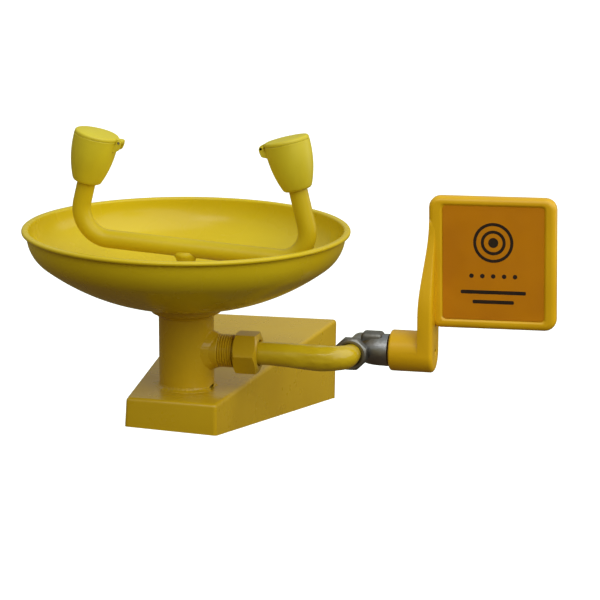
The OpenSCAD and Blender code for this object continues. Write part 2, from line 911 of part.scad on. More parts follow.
// Arm seen from the front: its inner edge swings in toward the hub.
module arm_front() {
    top = paddle_low + paddle_h - paddle_round;
    polygon(concat([[paddle_x, top]], taper_edge(arm_x, paddle_x), [[arm_x, -hub_d], [hub_end_x, -hub_d],
        [hub_end_x, top]]));
}

// Moulded handle: hub on the stem, tapered arm and framed paddle.
module push_handle() {
    back_w = paddle_w - 2 * back_border - (hub_end_x - paddle_x);
    color(amber)
    at_stem()
        difference() {
            union() {
                translate([hub_x, 0, 0])
                    along_x()
                        cylinder(r1 = hub_d / 2 - hub_chamfer, r2 = hub_d / 2, h = hub_chamfer);
                translate([hub_x + hub_chamfer, 0, 0])
                    along_x()
                        cylinder(d = hub_d, h = hub_end_x - hub_x - hub_chamfer);
                intersection() {
                    translate([hub_x, 0, 0])
                        rotate([90, 0, 90])
                            linear_extrude(hub_end_x - hub_x)
                                arm_side();
                    translate([0, hub_d, 0])
                        rotate([90, 0, 0])
                            linear_extrude(2 * hub_d)
                                arm_front();
                }
                translate([paddle_x, paddle_t / 2, paddle_low])
                    rotate([90, 0, 0])
                        linear_extrude(paddle_t)
                            round_plate(paddle_w, paddle_h, paddle_round);
            }
            translate([paddle_x + border_left, recess_d - paddle_t / 2, paddle_low + border_low])
                rotate([90, 0, 0])
                    linear_extrude(hub_d)
                        round_plate(label_w, label_h, recess_round);
            translate([hub_end_x + back_border, hub_d, paddle_low + back_border])
                rotate([90, 0, 0])
                    linear_extrude(hub_d - paddle_t / 2 + back_d)
                        round_plate(back_w, paddle_h - 2 * back_border, recess_round);
            translate([valve_x, -drive_af / 2 - fit, -drive_af / 2 - fit])
                cube([drive_end, drive_af + 2 * fit, drive_af + 2 * fit]);
            translate([hub_x - cut, 0, 0])
                along_x()
                    cylinder(r = packing_d / 2 + gland_gap, h = gland_out + 2 * cut);
            translate([valve_x, 0, 0])
                along_x()
                    cylinder(d = screw_d, h = hub_end_x);
        }
}

// Thin printed plate that lies in the paddle recess.
module label_plate() {
    color(orange)
    at_stem()
        translate([paddle_x + border_left + loose, recess_d - paddle_t / 2, paddle_low + border_low + loose])
            rotate([90, 0, 0])
                linear_extrude(label_t)
                    round_plate(label_w - 2 * loose, label_h - 2 * loose, recess_round);
}

// Socket set screw that locks the hub on the stem.
module handle_screw() {
    color(steel)
    at_valve()
        along_x()
            difference() {
                translate([0, 0, screw_end - screw_len]) cylinder(d = screw_d, h = screw_len);
                translate([0, 0, screw_end - screw_socket])
                    cylinder(d = screw_af / cos(30), h = screw_socket + cut, $fn = 6);
            }
}

// One half of the yoke at a given radius, on the left: bar, bend and riser.
module yoke_half(reach, r, over) {
    bend_x = yoke_bend_r - reach;
    translate([bend_x, 0, yoke_z])
        along_x()
            cylinder(r = r, h = -bend_x);
    translate([bend_x, 0, yoke_z + yoke_bend_r]) {
        rotate([90, 0, 0])
            rotate(180 - head_lean)
                rotate_extrude(angle = 90 + head_lean)
                    translate([yoke_bend_r, 0])
                        circle(r);
        rotate([0, head_lean, 0])
            translate([-yoke_bend_r, 0, 0])
                cylinder(r = r, h = riser_len + socket_depth + over);
    }
}

module yoke_solid(r, over) {
    yoke_half(reach_left, r, over);
    mirror([1, 0, 0]) yoke_half(reach_right, r, over);
}

// Bent spray yoke with the flared stub that stands on the feed tube.
module yoke_tube() {
    flare_low = yoke_z - yoke_r - 2 * stub_flare;
    flare_top = yoke_z - yoke_r * 3 / 4;
    color(yellow)
    at_column()
        difference() {
            union() {
                yoke_solid(yoke_r, 0);
                translate([0, 0, stub_low]) cylinder(r = stub_r, h = yoke_z - stub_low);
                translate([0, 0, flare_low])
                    cylinder(r1 = stub_r, r2 = stub_r + stub_flare, h = flare_top - flare_low);
            }
            yoke_solid(yoke_bore_r, cut);
            translate([0, 0, stub_low - cut]) cylinder(r = stub_bore_r, h = yoke_z - stub_low + cut);
        }
}

// Frame of a left head: z along the head from the cup base, x inward.
module at_head(reach) {
    at_column()
        translate([yoke_bend_r - reach, 0, yoke_z + yoke_bend_r])
            rotate([0, head_lean, 0])
                translate([-yoke_bend_r, 0, riser_len])
                    children();
}

module on_left() {
    at_head(reach_left) children();
}

module on_right() {
    mirror([1, 0, 0]) at_head(reach_right) children();
}

// Cup radius at a height above its base.
function cup_side(s) = cup_r - cup_arc_r + sqrt(cup_arc_r * cup_arc_r - (cup_side_h - s) * (cup_side_h - s));

// Spray cup: swelling sides, ledge for the disc, socket for the tube, and two
// hinge ears on the inner side.
module spray_cup() {
    side_from = asin((cup_round - cup_side_h) / cup_arc_r);
    foot = arc(cup_side(cup_round) - cup_round, cup_round, cup_round, -90, 0);
    side = tail(arc(cup_r - cup_arc_r, cup_side_h, cup_arc_r, side_from, 0));
    color(yellow)
    difference() {
        union() {
            rotate_extrude()
                polygon(concat([[yoke_r, 0]], foot, side, [[cup_r, cup_h], [mouth_r, cup_h], [mouth_r, ledge_s],
                    [chamber_r, ledge_s], [chamber_r, socket_depth + yoke_t], [yoke_bore_r, socket_depth + yoke_t],
                    [yoke_bore_r, socket_depth], [yoke_r, socket_depth]]));
            for (y = [-ear_y, ear_y + ear_t]) {
                translate([0, y, 0])
                    rotate([90, 0, 0])
                        linear_extrude(ear_t)
                            hinge_ear();
            }
        }
        hinge_bore(pin_d / 2);
    }
}

module hinge_ear() {
    root = (mouth_r + cup_r) / 2;
    translate([pin_u, pin_s]) circle(ear_r);
    polygon([[pin_u - ear_r, pin_s], [pin_u - ear_r, cup_h], [root, cup_h], [root, cup_h - ear_root_h],
        [pin_u + ear_r, pin_s]]);
}

// The hinge pin's axis as a cylinder across both ears.
module hinge_bore(r) {
    translate([pin_u, -ear_y - ear_t, pin_s])
        along_y()
            cylinder(r = r, h = 2 * (ear_y + ear_t));
}

module spray_cup_left() {
    on_left() spray_cup();
}

module spray_cup_right() {
    on_right() spray_cup();
}

// Perforated disc that breaks the stream into soft jets.
module spray_disc() {
    color(white)
    difference() {
        translate([0, 0, ledge_s]) cylinder(r = mouth_r - fit, h = disc_t);
        for (k = [0 : jet_rings], i = [0 : max(1, 6 * k) - 1]) {
            rotate(60 * i / max(1, k))
                translate([jet_pitch * k, 0, ledge_s - cut])
                    cylinder(d = jet_d, h = disc_t + 2 * cut);
        }
    }
}

module spray_disc_left() {
    on_left() spray_disc();
}

module spray_disc_right() {
    on_right() spray_disc();
}

module lid_pin_left() {
    color(steel) on_left() hinge_bore(pin_d / 2);
}

module lid_pin_right() {
    color(steel) on_right() hinge_bore(pin_d / 2);
}

// Dust lid with a plug for the mouth and a tongue between the hinge ears.
module dust_lid() {
    plug_r = mouth_r - 2 * hinge_gap;
    plug_low = lid_low - lid_plug;
    color(yellow)
    difference() {
        union() {
            rotate_extrude()
                polygon([[0, plug_low], [plug_r, plug_low], [plug_r, lid_low], [lid_r, lid_low],
                    [lid_r, lid_top - lid_edge], [lid_r - lid_edge, lid_top], [0, lid_top]]);
            translate([mouth_r, -tongue_w / 2, lid_low])
                cube([pin_u - mouth_r, tongue_w, lid_t]);
            translate([pin_u, -tongue_w / 2, pin_s])
                along_y()
                    cylinder(r = lid_t / 2, h = tongue_w);
        }
        hinge_bore(pin_d / 2 + run_fit);
    }
}

module dust_lid_left() {
    on_left() dust_lid();
}

module dust_lid_right() {
    on_right() dust_lid();
}
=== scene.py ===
import math

import bmesh
import bpy
from bmesh.types import BMEdge, BMFace, BMVert
from mathutils import Matrix, Vector, noise


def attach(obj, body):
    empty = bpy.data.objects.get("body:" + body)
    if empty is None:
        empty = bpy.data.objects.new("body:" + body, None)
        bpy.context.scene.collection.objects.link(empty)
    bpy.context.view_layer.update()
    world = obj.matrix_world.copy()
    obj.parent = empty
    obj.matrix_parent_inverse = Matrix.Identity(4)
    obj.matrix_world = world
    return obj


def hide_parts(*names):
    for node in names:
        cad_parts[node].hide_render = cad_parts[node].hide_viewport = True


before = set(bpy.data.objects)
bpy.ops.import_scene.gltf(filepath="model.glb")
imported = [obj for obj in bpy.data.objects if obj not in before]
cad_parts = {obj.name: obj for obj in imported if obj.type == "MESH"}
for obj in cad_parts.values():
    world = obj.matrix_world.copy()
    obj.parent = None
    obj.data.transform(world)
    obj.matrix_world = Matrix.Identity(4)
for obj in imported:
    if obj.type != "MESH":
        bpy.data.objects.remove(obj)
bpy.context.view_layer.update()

# Wall bracket: one sheet of 2 mm steel folded into a long tapered hood, open below and a little
# twisted, and welded to a back plate with four anchor holes. Sprayed with glossy yellow enamel.
COLUMN_FOOT = (0, -0.290, 0.041)
AT_COLUMN = Matrix.Translation(COLUMN_FOOT) @ Matrix.Scale(0.001, 4)
SMOOTH_BELOW = math.radians(32)
ROUNDING_STEPS = 5
SHADE_SPAN = (0.36, 0.64)
GLOSS_SPAN = (0.3, 0.7)
SWAY_SCALE = 14
# Mustard copy of the yellow enamel, warmer and darker than the bowl's: painted shade and painted warm bounce
# light on the stand.
MUSTARD_PAINTED_SHADE = (0.565, 0.350, 0.008, 1)
DEEP_MUSTARD_PAINTED_SHADE = (0.515, 0.308, 0.006, 1)


def finish(name, light, deep, patch, rough, grain, relief, sway=0.0, sockets=None):
    """A surface that drifts between two shades and two roughnesses, with a fine grain over a slow sway."""
    material = bpy.data.materials.new(name)
    material.use_nodes = True
    nodes, links = material.node_tree.nodes, material.node_tree.links
    surface = nodes["Principled BSDF"]
    for socket, value in (sockets or {}).items():
        surface.inputs[socket].default_value = value
    where = nodes.new("ShaderNodeTexCoord")

    def cloud(scale, detail):
        texture = nodes.new("ShaderNodeTexNoise")
        texture.inputs["Scale"].default_value = scale
        texture.inputs["Detail"].default_value = detail
        links.new(where.outputs["Object"], texture.inputs["Vector"])
        return texture.outputs[0]

    shade = nodes.new("ShaderNodeValToRGB")
    for stop, position, colour in zip(shade.color_ramp.elements, SHADE_SPAN, (deep, light)):
        stop.position = position
        stop.color = colour
    links.new(cloud(patch, 2), shade.inputs["Fac"])
    links.new(shade.outputs["Color"], surface.inputs["Base Color"])
    gloss = nodes.new("ShaderNodeMapRange")
    for socket, value in zip(("From Min", "From Max", "To Min", "To Max"), (*GLOSS_SPAN, *rough)):
        gloss.inputs[socket].default_value = value
    links.new(cloud(3 * patch, 3), gloss.inputs["Value"])
    links.new(gloss.outputs["Result"], surface.inputs["Roughness"])
    normal = None
    for scale, height in ((SWAY_SCALE, sway), (grain, relief)):
        if height:
            bump = nodes.new("ShaderNodeBump")
            bump.inputs["Distance"].default_value = height
            links.new(cloud(scale, 2), bump.inputs["Height"])
            if normal:
                links.new(normal, bump.inputs["Normal"])
            normal = bump.outputs["Normal"]
    links.new(normal, surface.inputs["Normal"])
    return material


def only(kind, found):
    """The points, edges or faces among what an operator gives back."""
    return [g for g in found if isinstance(g, kind)]


def place(shape, matrix):
    """Move a whole shape."""
    bmesh.ops.transform(shape, matrix=matrix, verts=shape.verts)
    return shape


def put(shape, name, material, body, slot, *nodes):
    """Set a finished shape, drawn in millimetres from the column's foot, on its body."""
    mesh = bpy.data.meshes.new(name)
    place(shape, AT_COLUMN).to_mesh(mesh)
    shape.free()
    mesh.materials.append(material)
    mesh.shade_smooth()
    mesh.set_sharp_from_angle(angle=SMOOTH_BELOW)
    piece = bpy.data.objects.new(name, mesh)
    bpy.context.scene.collection.objects.link(piece)
    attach(piece, body)
    if nodes:
        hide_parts(*nodes)


def soften(shape, edges, width, segments):
    """Round off edges."""
    bmesh.ops.bevel(shape, geom=edges, offset=width, offset_type="OFFSET", affect="EDGES", segments=segments,
                    profile=0.5, material=-1, clamp_overlap=True)


def outline(shape, points, plane):
    """Draw a closed outline; each point is (across, up, rounding) and plane places it in space."""
    corners = [shape.verts.new(plane @ Vector((across, up, 0))) for across, up, _ in points]
    for corner, following in zip(corners, corners[1:] + corners[:1]):
        shape.edges.new((corner, following))
    drawn = set(corners)
    for corner, (_, _, rounding) in zip(corners, points):
        if rounding:
            drawn.discard(corner)
            rounded = bmesh.ops.bevel(shape, geom=[corner], offset=rounding, offset_type="OFFSET",
                                      affect="VERTICES", segments=ROUNDING_STEPS, profile=0.5, material=-1)
            drawn.update(rounded["verts"])
    return [edge for edge in shape.edges if edge.verts[0] in drawn and edge.verts[1] in drawn]


def ring_edges(shape, radius, segments, spot):
    """Draw a ring of edges."""
    verts = bmesh.ops.create_circle(shape, radius=radius, segments=segments, matrix=spot)["verts"]
    return list(dict.fromkeys(e for v in verts for e in v.link_edges))


def thicken(shape, faces, depth):
    """Pull a flat sheet of faces out to a plate."""
    pulled = bmesh.ops.extrude_face_region(shape, geom=faces, use_keep_orig=True)["geom"]
    bmesh.ops.translate(shape, verts=only(BMVert, pulled), vec=depth)
    bmesh.ops.recalc_face_normals(shape, faces=shape.faces)


SHEET, FOLD_ROUND, WASTE_BORE = 2.0, 3.5, 18.6
FRONT_Y, REAR_Y, WALL_Y = -59.0, 287.0, 290.0
TOP_RISE, TOP_TWIST = 0.86, 0.02
REAR_CORNERS = {("left", "top"): (-75.7, 0.0), ("right", "top"): (77.0, 0.9),
                ("left", "low"): (-75.7, -81.5), ("right", "low"): (75.5, -80.9)}
FRONT_CORNERS = {("left", "top"): (-41.4, 1.7), ("right", "top"): (43.6, 0.0),
                 ("left", "low"): (-43.2, -25.7), ("right", "low"): (43.2, -29.2)}
UPRIGHT = Matrix.Rotation(math.radians(90), 4, "X")
# The stand's enamel uses that mustard copy, so its colour carries painted shade and painted warm bounce
# light.
stand_enamel_shaded = finish("stand_enamel_shaded", MUSTARD_PAINTED_SHADE, DEEP_MUSTARD_PAINTED_SHADE, patch=9, rough=(0.24, 0.34), grain=700,
                      relief=0.00001, sway=0.0006,
                      sockets={"Specular IOR Level": 0.28, "Coat Weight": 0.20, "Coat Roughness": 0.08})


def top_height(x, y):
    """How high the bracket's slightly twisted top lies at a place."""
    return (TOP_RISE - TOP_TWIST * x) * (REAR_Y - y) / (REAR_Y - FRONT_Y)


bracket = bmesh.new()
bmesh.ops.create_cube(bracket, size=1)
for v in bracket.verts:
    at_rear = v.co.y > 0
    hand = "left" if v.co.x < 0 else "right"
    level = "low" if v.co.z < 0 else "top"
    across, up = (REAR_CORNERS if at_rear else FRONT_CORNERS)[hand, level]
    v.co = (across, REAR_Y if at_rear else FRONT_Y, up)
bracket.normal_update()
open_sides = [f for f in bracket.faces if f.normal.z < -0.5 or f.normal.y > 0.9]
bmesh.ops.delete(bracket, geom=open_sides, context="FACES")
soften(bracket, [e for e in bracket.edges if len(e.link_faces) == 2], FOLD_ROUND, segments=5)
bracket.normal_update()
top = max((f for f in bracket.faces if f.normal.z > 0.99), key=lambda f: f.calc_area())
top_edges = list(top.edges)
bmesh.ops.delete(bracket, geom=[top], context="FACES_ONLY")
waste_hole = ring_edges(bracket, WASTE_BORE, segments=48, spot=Matrix.Identity(4))
for v in {v for e in waste_hole for v in e.verts}:
    v.co.z = top_height(v.co.x, v.co.y)
bmesh.ops.triangle_fill(bracket, edges=top_edges + waste_hole, use_beauty=True, normal=(0, 0, 1))
bracket.normal_update()
bmesh.ops.reverse_faces(bracket, faces=[f for f in bracket.faces if f.normal.z < -0.98])
bmesh.ops.solidify(bracket, geom=bracket.faces[:], thickness=SHEET)
put(bracket, "bracket_shell_sheet", stand_enamel_shaded, "stand", "yellow_enamel", "bracket_shell")

HOLE_R, HOLE_X, HOLE_Z, PLATE_MID = 4.5, 55.0, 23.0, -41.0
PLATE_CORNERS = [(-76, 0, FOLD_ROUND), (77.2, 0.9, FOLD_ROUND), (75.7, -81.3, 0), (-76, -82, 0)]
plate = bmesh.new()
plate_edges = outline(plate, PLATE_CORNERS, Matrix.Translation((0, WALL_Y, 0)) @ UPRIGHT)
for x in (-HOLE_X, HOLE_X):
    for z in (PLATE_MID - HOLE_Z, PLATE_MID + HOLE_Z):
        plate_edges += ring_edges(plate, HOLE_R, segments=32,
                                  spot=Matrix.Translation((x, WALL_Y, z)) @ UPRIGHT)
sheet = bmesh.ops.triangle_fill(plate, edges=plate_edges, use_beauty=True, normal=(0, 1, 0))["geom"]
thicken(plate, only(BMFace, sheet), (0, REAR_Y - WALL_Y, 0))
put(plate, "wall_plate_sheet", stand_enamel_shaded, "stand", "yellow_enamel", "wall_plate")

# Waste stub, column and collar: welded steel tube that carries the bowl and drains it through
# the bracket. The foot is welded all round by hand, apart from a short gap at the right.
RIPPLE_NOISE, RIPPLE_DRIFT, WANDER_NOISE = 0.15, 2, 0.11


def spun(shape, steps):
    """Spin a drawn half-section round the z axis to a closed body."""
    bmesh.ops.spin(shape, geom=shape.verts[:] + shape.edges[:], axis=(0, 0, 1), cent=(0, 0, 0),
                   angle=math.tau, steps=steps, use_merge=True)
    bmesh.ops.remove_doubles(shape, verts=shape.verts, dist=1e-4)
    bmesh.ops.recalc_face_normals(shape, faces=shape.faces)
    return shape


def turned(section, steps=64):
    """Turn a half-section of (radius, height, rounding) corners; an edge on the axis is left out."""
    shape = bmesh.new()
    outline(shape, section, UPRIGHT)
    for on_axis in [e for e in shape.edges if all(abs(v.co.x) < 1e-6 for v in e.verts)]:
        shape.edges.remove(on_axis)
    return spun(shape, steps)


def together(*shells):
    """Collect closed shells into one shape."""
    whole = bmesh.new()
    for shell in shells:
        loose = bpy.data.meshes.new("loose")
        shell.to_mesh(loose)
        shell.free()
        whole.from_mesh(loose)
        bpy.data.meshes.remove(loose)
    return whole


def bead(shape, ripples, height, wander, gap=None):
    """Work the ripples of a hand-laid weld into a ring round the z axis, fading out in a gap."""
    shape.normal_update()
    for v in shape.verts:
        angle = math.atan2(v.co.y, v.co.x)
        ripple = height * math.sin(ripples * angle + RIPPLE_DRIFT * noise.noise(v.co * RIPPLE_NOISE))
        spot = v.co + v.normal * (ripple + wander * noise.noise(v.co * WANDER_NOISE))
        if gap:
            middle, half, core_r, core_z = gap
            core = Vector((core_r * math.cos(angle), core_r * math.sin(angle), core_z))
            spot = spot.lerp(core, max(0.0, 1 - abs(angle - middle) / half) ** 0.5)
        v.co = spot
    return shape


WASTE_R, WASTE_LOW, WASTE_TOP = 21.2, -24.0, -2.0
waste = turned([(WASTE_BORE, WASTE_LOW, 0.5), (WASTE_R, WASTE_LOW, 0.5), (WASTE_R, WASTE_TOP, 0),
                (WASTE_BORE, WASTE_TOP, 0)])
put(waste, "waste_tail_tube", stand_enamel_shaded, "stand", "yellow_enamel", "waste_tail")

COLUMN_R, COLUMN_BORE, COLUMN_TOP = 25.5, 23.5, 76.5
GAP_AT, GAP_HALF, GAP_HIGH = math.radians(-4), math.radians(20), 4.2
WELD_IN, WELD_LOW, WELD_TOP = 24.6, -0.6, 3.7
FOOT_WELD = [(WELD_IN, WELD_LOW, 0), (29.3, WELD_LOW, 0), (29.0, 0.35, 0.3), (27.3, 0.95, 0.7),
             (26.1, 2.1, 0.7), (25.75, WELD_TOP, 0.2), (WELD_IN, WELD_TOP, 0)]
column = turned([(COLUMN_BORE, 0, 0), (COLUMN_R, 0, 0), (COLUMN_R, COLUMN_TOP, 0),
                 (COLUMN_BORE, COLUMN_TOP, 0)], steps=144)
for v in column.verts:
    off = abs(math.atan2(v.co.y, v.co.x) - GAP_AT) / GAP_HALF
    if v.co.z < 1 and off < 1:
        v.co.z += GAP_HIGH * math.sqrt(1 - off ** 2)
foot_weld = bead(turned(FOOT_WELD, steps=300), ripples=41, height=0.10, wander=0.7,
                 gap=(GAP_AT, GAP_HALF, WELD_IN, WELD_LOW))
for v in foot_weld.verts:
    v.co.z += top_height(v.co.x, v.co.y)
put(together(column, foot_weld), "column_tube", stand_enamel_shaded, "stand", "yellow_enamel", "column")

COLLAR_R, COLLAR_LOW, COLLAR_TOP, COLLAR_LIP = 32.3, 67.8, 77.6, 1.0
COLLAR = [(COLUMN_R, COLLAR_LOW, 0), (26.4, COLLAR_LOW, 0.4), (28.0, 70.2, 1.2), (COLLAR_R, 71.6, 0.9),
          (COLLAR_R, COLLAR_TOP, 0.5), (COLLAR_R - COLLAR_LIP, COLLAR_TOP, 0),
          (COLLAR_R - COLLAR_LIP, COLUMN_TOP, 0), (COLUMN_R, COLUMN_TOP, 0)]
put(turned(COLLAR, steps=96), "bowl_collar_ring", stand_enamel_shaded, "stand", "yellow_enamel", "bowl_collar")

# Bowl gasket and drain strainer: a flat rubber ring under the bowl, and a punched stainless cover
# over the drain, held by three round-head socket screws that pass through into the collar.
rubber = finish("black_rubber", (0.030, 0.030, 0.030, 1), (0.018, 0.018, 0.018, 1), patch=60,
                rough=(0.6, 0.75), grain=900, relief=0.00008)
steel = finish("stainless", (0.40, 0.40, 0.41, 1), (0.27, 0.265, 0.26, 1), patch=70, rough=(0.30, 0.46),
               grain=1100, relief=0.00010, sockets={"Metallic": 1.0})


def dress(material, *nodes):
    """Give solids that stay as they are their finish."""
    for node in nodes:
        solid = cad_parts[node]
        solid.data.materials.clear()
        solid.data.materials.append(material)


dress(rubber, "bowl_gasket")
dress(steel, "strainer")
SCREW_RING, SCREW_TURNS = 28.75, (90, 210, 330)
SHANK_R, SHANK_END = 2.0, 72.2
HEAD_R, HEAD_LOW, HEAD_TOP = 3.2, 82.0, 84.0
KEY_R, KEY_FLOOR = 1.3, 83.0
SCREW = [(0, KEY_FLOOR, 0), (KEY_R, KEY_FLOOR, 0), (KEY_R, HEAD_TOP, 0), (HEAD_R, HEAD_TOP, 0.8),
         (HEAD_R, HEAD_LOW, 0), (SHANK_R, HEAD_LOW, 0), (SHANK_R, SHANK_END, 0.4), (0, SHANK_END, 0)]
screws = [place(turned(SCREW, steps=30), Matrix.Rotation(math.radians(turn), 4, "Z")
                @ Matrix.Translation((SCREW_RING, 0, 0))) for turn in SCREW_TURNS]
put(together(*screws), "strainer_screw_heads", steel, "stand", "stainless", "strainer_screws")


# Bowl: 2 mm steel spun over a former to a shallow dish with a tight knuckle, its edge rolled
# outwards to a bead. Enamelled inside and out, and seated a little out of level.
def arc(shape, start, centre, degrees, steps):
    """Draw an arc of edges from a point of a half-section, counter-clockwise, and give its end."""
    swept = bmesh.ops.spin(shape, geom=[start], axis=(0, -1, 0), cent=(centre[0], 0, centre[1]),
                           angle=math.radians(degrees), steps=steps)
    return only(BMVert, swept["geom_last"])[0]


def line(shape, start, radius, height):
    """Draw a straight edge of a half-section and give its end."""
    end = shape.verts.new((radius, 0, height))
    shape.edges.new((start, end))
    return end


def ramp(value, start, length):
    """How far along a stretch a value lies, from 0 before it to 1 after it."""
    return min(1.0, max(0.0, (value - start) / length))


LEMON_YELLOW = (0.680, 0.500, 0.010, 1)
DEEP_YELLOW = (0.620, 0.440, 0.008, 1)
bowl_enamel = finish("bowl_enamel", LEMON_YELLOW, DEEP_YELLOW, patch=7, rough=(0.22, 0.32), grain=700,
                     relief=0.00001, sway=0.0006,
                     sockets={"Specular IOR Level": 0.22, "Coat Weight": 0.12, "Coat Roughness": 0.08})
SEAT_Z, SEAT_R, DRAIN_R, SKIN = 78.0, 33.0, 20.0, 2.0
RIM_Z, RIM_R, RIM_DROP, LIP = 148.0, 150.0, 4.5, 2.0
WALL_R, KNUCKLE, DISH_RISE = 145.5, 32.0, 157.05
FULLER, WIDER, DEEPER, BOWL_TILT = 1.2, 1.003, 1.026, math.radians(0.52)
lip_r = RIM_R - LIP
inner_r = WALL_R - SKIN
dish_centre = (0, RIM_Z + DISH_RISE)
dish_r = math.hypot(SEAT_R, dish_centre[1] - SEAT_Z)
knuckle_centre = (WALL_R - KNUCKLE, RIM_Z - RIM_DROP)
seat_turn = math.degrees(math.asin(SEAT_R / dish_r))
floor_turn = math.degrees(math.acos((dish_centre[1] - SEAT_Z - SKIN) / (dish_r - SKIN)))
dish_turn = math.degrees(math.atan2(knuckle_centre[0], dish_centre[1] - knuckle_centre[1]))
bowl = bmesh.new()
first = bowl.verts.new((DRAIN_R, 0, SEAT_Z))
end = line(bowl, first, SEAT_R, SEAT_Z)
end = arc(bowl, end, dish_centre, dish_turn - seat_turn, steps=22)
end = arc(bowl, end, knuckle_centre, 90 - dish_turn, steps=10)
end = line(bowl, end, WALL_R, RIM_Z - 2 * LIP)
end = line(bowl, end, lip_r, RIM_Z - 2 * LIP)
end = arc(bowl, end, (lip_r, RIM_Z - LIP), 180, steps=8)
end = line(bowl, end, inner_r + LIP, RIM_Z)
end = arc(bowl, end, (inner_r + LIP, RIM_Z - LIP), 90, steps=5)
end = line(bowl, end, inner_r, RIM_Z - RIM_DROP)
end = arc(bowl, end, knuckle_centre, dish_turn - 90, steps=10)
end = arc(bowl, end, dish_centre, floor_turn - dish_turn, steps=22)
end = line(bowl, end, DRAIN_R, SEAT_Z + SKIN)
bowl.edges.new((end, first))
spun(bowl, steps=160)
for v in bowl.verts:
    v.co.z -= FULLER * math.sin(math.pi * ramp(v.co.xy.length, SEAT_R, WALL_R - SEAT_R))
SEAT = Matrix.Translation((0, 0, SEAT_Z))
stretch = Matrix.Diagonal((WIDER, WIDER, DEEPER, 1))
place(bowl, SEAT @ Matrix.Rotation(BOWL_TILT, 4, "Y") @ stretch @ SEAT.inverted())
put(bowl, "bowl_dish", bowl_enamel, "stand", "yellow_enamel", "bowl")

# Feed: a brass elbow inside the column turns the supply upward into a short riser, a painted pipe
# that comes up through the strainer and carries the spray yoke.
brass = finish("brass_fitting", (0.62, 0.43, 0.15, 1), (0.50, 0.33, 0.10, 1), patch=80, rough=(0.25, 0.4),
               grain=1200, relief=0.00006, sockets={"Metallic": 1.0})
dress(brass, "feed_elbow")
dress(bowl_enamel, "feed_riser")

# Side port: a turned steel boss welded to the column's right side with a rippled bead, with a
# coarse union thread cut on its outer end. Painted with the column.
ALONG_X = Matrix.Rotation(math.radians(90), 4, "Y")
PORT_BORE, TAIL_R, TAIL_FROM = 7.9, 10.6, 8.0
BOSS_R, BOSS_FROM, BOSS_END, BOSS_Z = 15.8, 16.0, 32.2, 36.0
CORE_R, CORE_END = 12.8, 64.0
SADDLE_IN, SADDLE_LOW = 14.4, -1.2
THREAD_FROM, THREAD_END, THREAD_SUNK = 27.0, 45.4, 0.5
PITCH, TURNS, TURN_STEPS = 2.3, 11, 48
ROOT_R, CREST_R, CREST_FROM, CREST_TO = 14.1, 15.3, 0.9, 1.4


def saw_off(shape, point, outward):
    """Saw off what lies beyond a plane and close the cut."""
    cut = bmesh.ops.bisect_plane(shape, geom=shape.verts[:] + shape.edges[:] + shape.faces[:], dist=1e-4,
                                 plane_co=point, plane_no=outward, clear_outer=True)["geom_cut"]
    bmesh.ops.edgeloop_fill(shape, edges=only(BMEdge, cut))


boss = turned([(PORT_BORE, TAIL_FROM, 0), (TAIL_R, TAIL_FROM, 0), (TAIL_R, BOSS_FROM, 0),
               (BOSS_R, BOSS_FROM, 0), (BOSS_R, BOSS_END, 1.0), (CORE_R, BOSS_END, 0), (CORE_R, CORE_END, 0),
               (PORT_BORE, CORE_END, 0)], steps=72)
saddle = turned([(SADDLE_IN, SADDLE_LOW, 0), (19.2, SADDLE_LOW, 0), (17.6, 1.2, 2.0),
                 (BOSS_R + 0.15, 5.0, 1.0), (SADDLE_IN, 5.6, 0)], steps=220)
place(bead(saddle, ripples=34, height=0.05, wander=0.35), ALONG_X)
for v in saddle.verts:
    v.co.x += math.sqrt(max(0.0, COLUMN_R ** 2 - min(abs(v.co.y), COLUMN_R) ** 2))
thread = bmesh.new()
tooth = ((0, ROOT_R), (CREST_FROM, CREST_R), (CREST_TO, CREST_R), (PITCH, ROOT_R))
tooth_points = [thread.verts.new((THREAD_FROM + x, 0, r)) for x, r in tooth]
for point, following in zip(tooth_points, tooth_points[1:]):
    thread.edges.new((point, following))
bmesh.ops.spin(thread, geom=thread.verts[:] + thread.edges[:], axis=(1, 0, 0), cent=(0, 0, 0),
               dvec=(PITCH / TURN_STEPS, 0, 0), angle=math.tau * TURNS, steps=TURN_STEPS * TURNS)
bmesh.ops.remove_doubles(thread, verts=thread.verts, dist=0.01)
saw_off(thread, (BOSS_END - THREAD_SUNK, 0, 0), (-1, 0, 0))
saw_off(thread, (THREAD_END, 0, 0), (1, 0, 0))
bmesh.ops.recalc_face_normals(thread, faces=thread.faces)
nipple = place(together(place(boss, ALONG_X), saddle, thread), Matrix.Translation((0, 0, BOSS_Z)))
put(nipple, "side_nipple_thread", stand_enamel_shaded, "stand", "yellow_enamel", "side_nipple")

# Union nut: a forged steel hexagon, chamfered at both ends and painted with the rest. It is
# screwed on the side port and pulls the supply pipe's collar against a flat rubber gasket.
PORT_Z = 35.5
PORT = Matrix.Translation((0, 0, PORT_Z))
NUT_FROM, NUT_END, NUT_CORNER_R, NUT_HALF = 48.0, 69.8, 20.8, 18.0
NUT_BORE, LIP_BORE, LIP_FROM = 15.1, 12.2, 68.2
FLAT_ROUND, FLAT_SHARE, FLAT_TURN = 0.8, 0.2, math.radians(30)


def milled(blank, sides, half):
    """Mill flat sides on a blank turned round the z axis."""
    for i in range(sides):
        away = Vector((math.cos(math.tau * i / sides), math.sin(math.tau * i / sides), 0))
        saw_off(blank, away * half, away)
    bmesh.ops.recalc_face_normals(blank, faces=blank.faces)
    flat_edges = [e for e in blank.edges if len(e.link_faces) == 2 and e.calc_length() > FLAT_SHARE * half
                  and e.calc_face_angle() > FLAT_TURN]
    soften(blank, flat_edges, FLAT_ROUND, segments=3)
    return blank


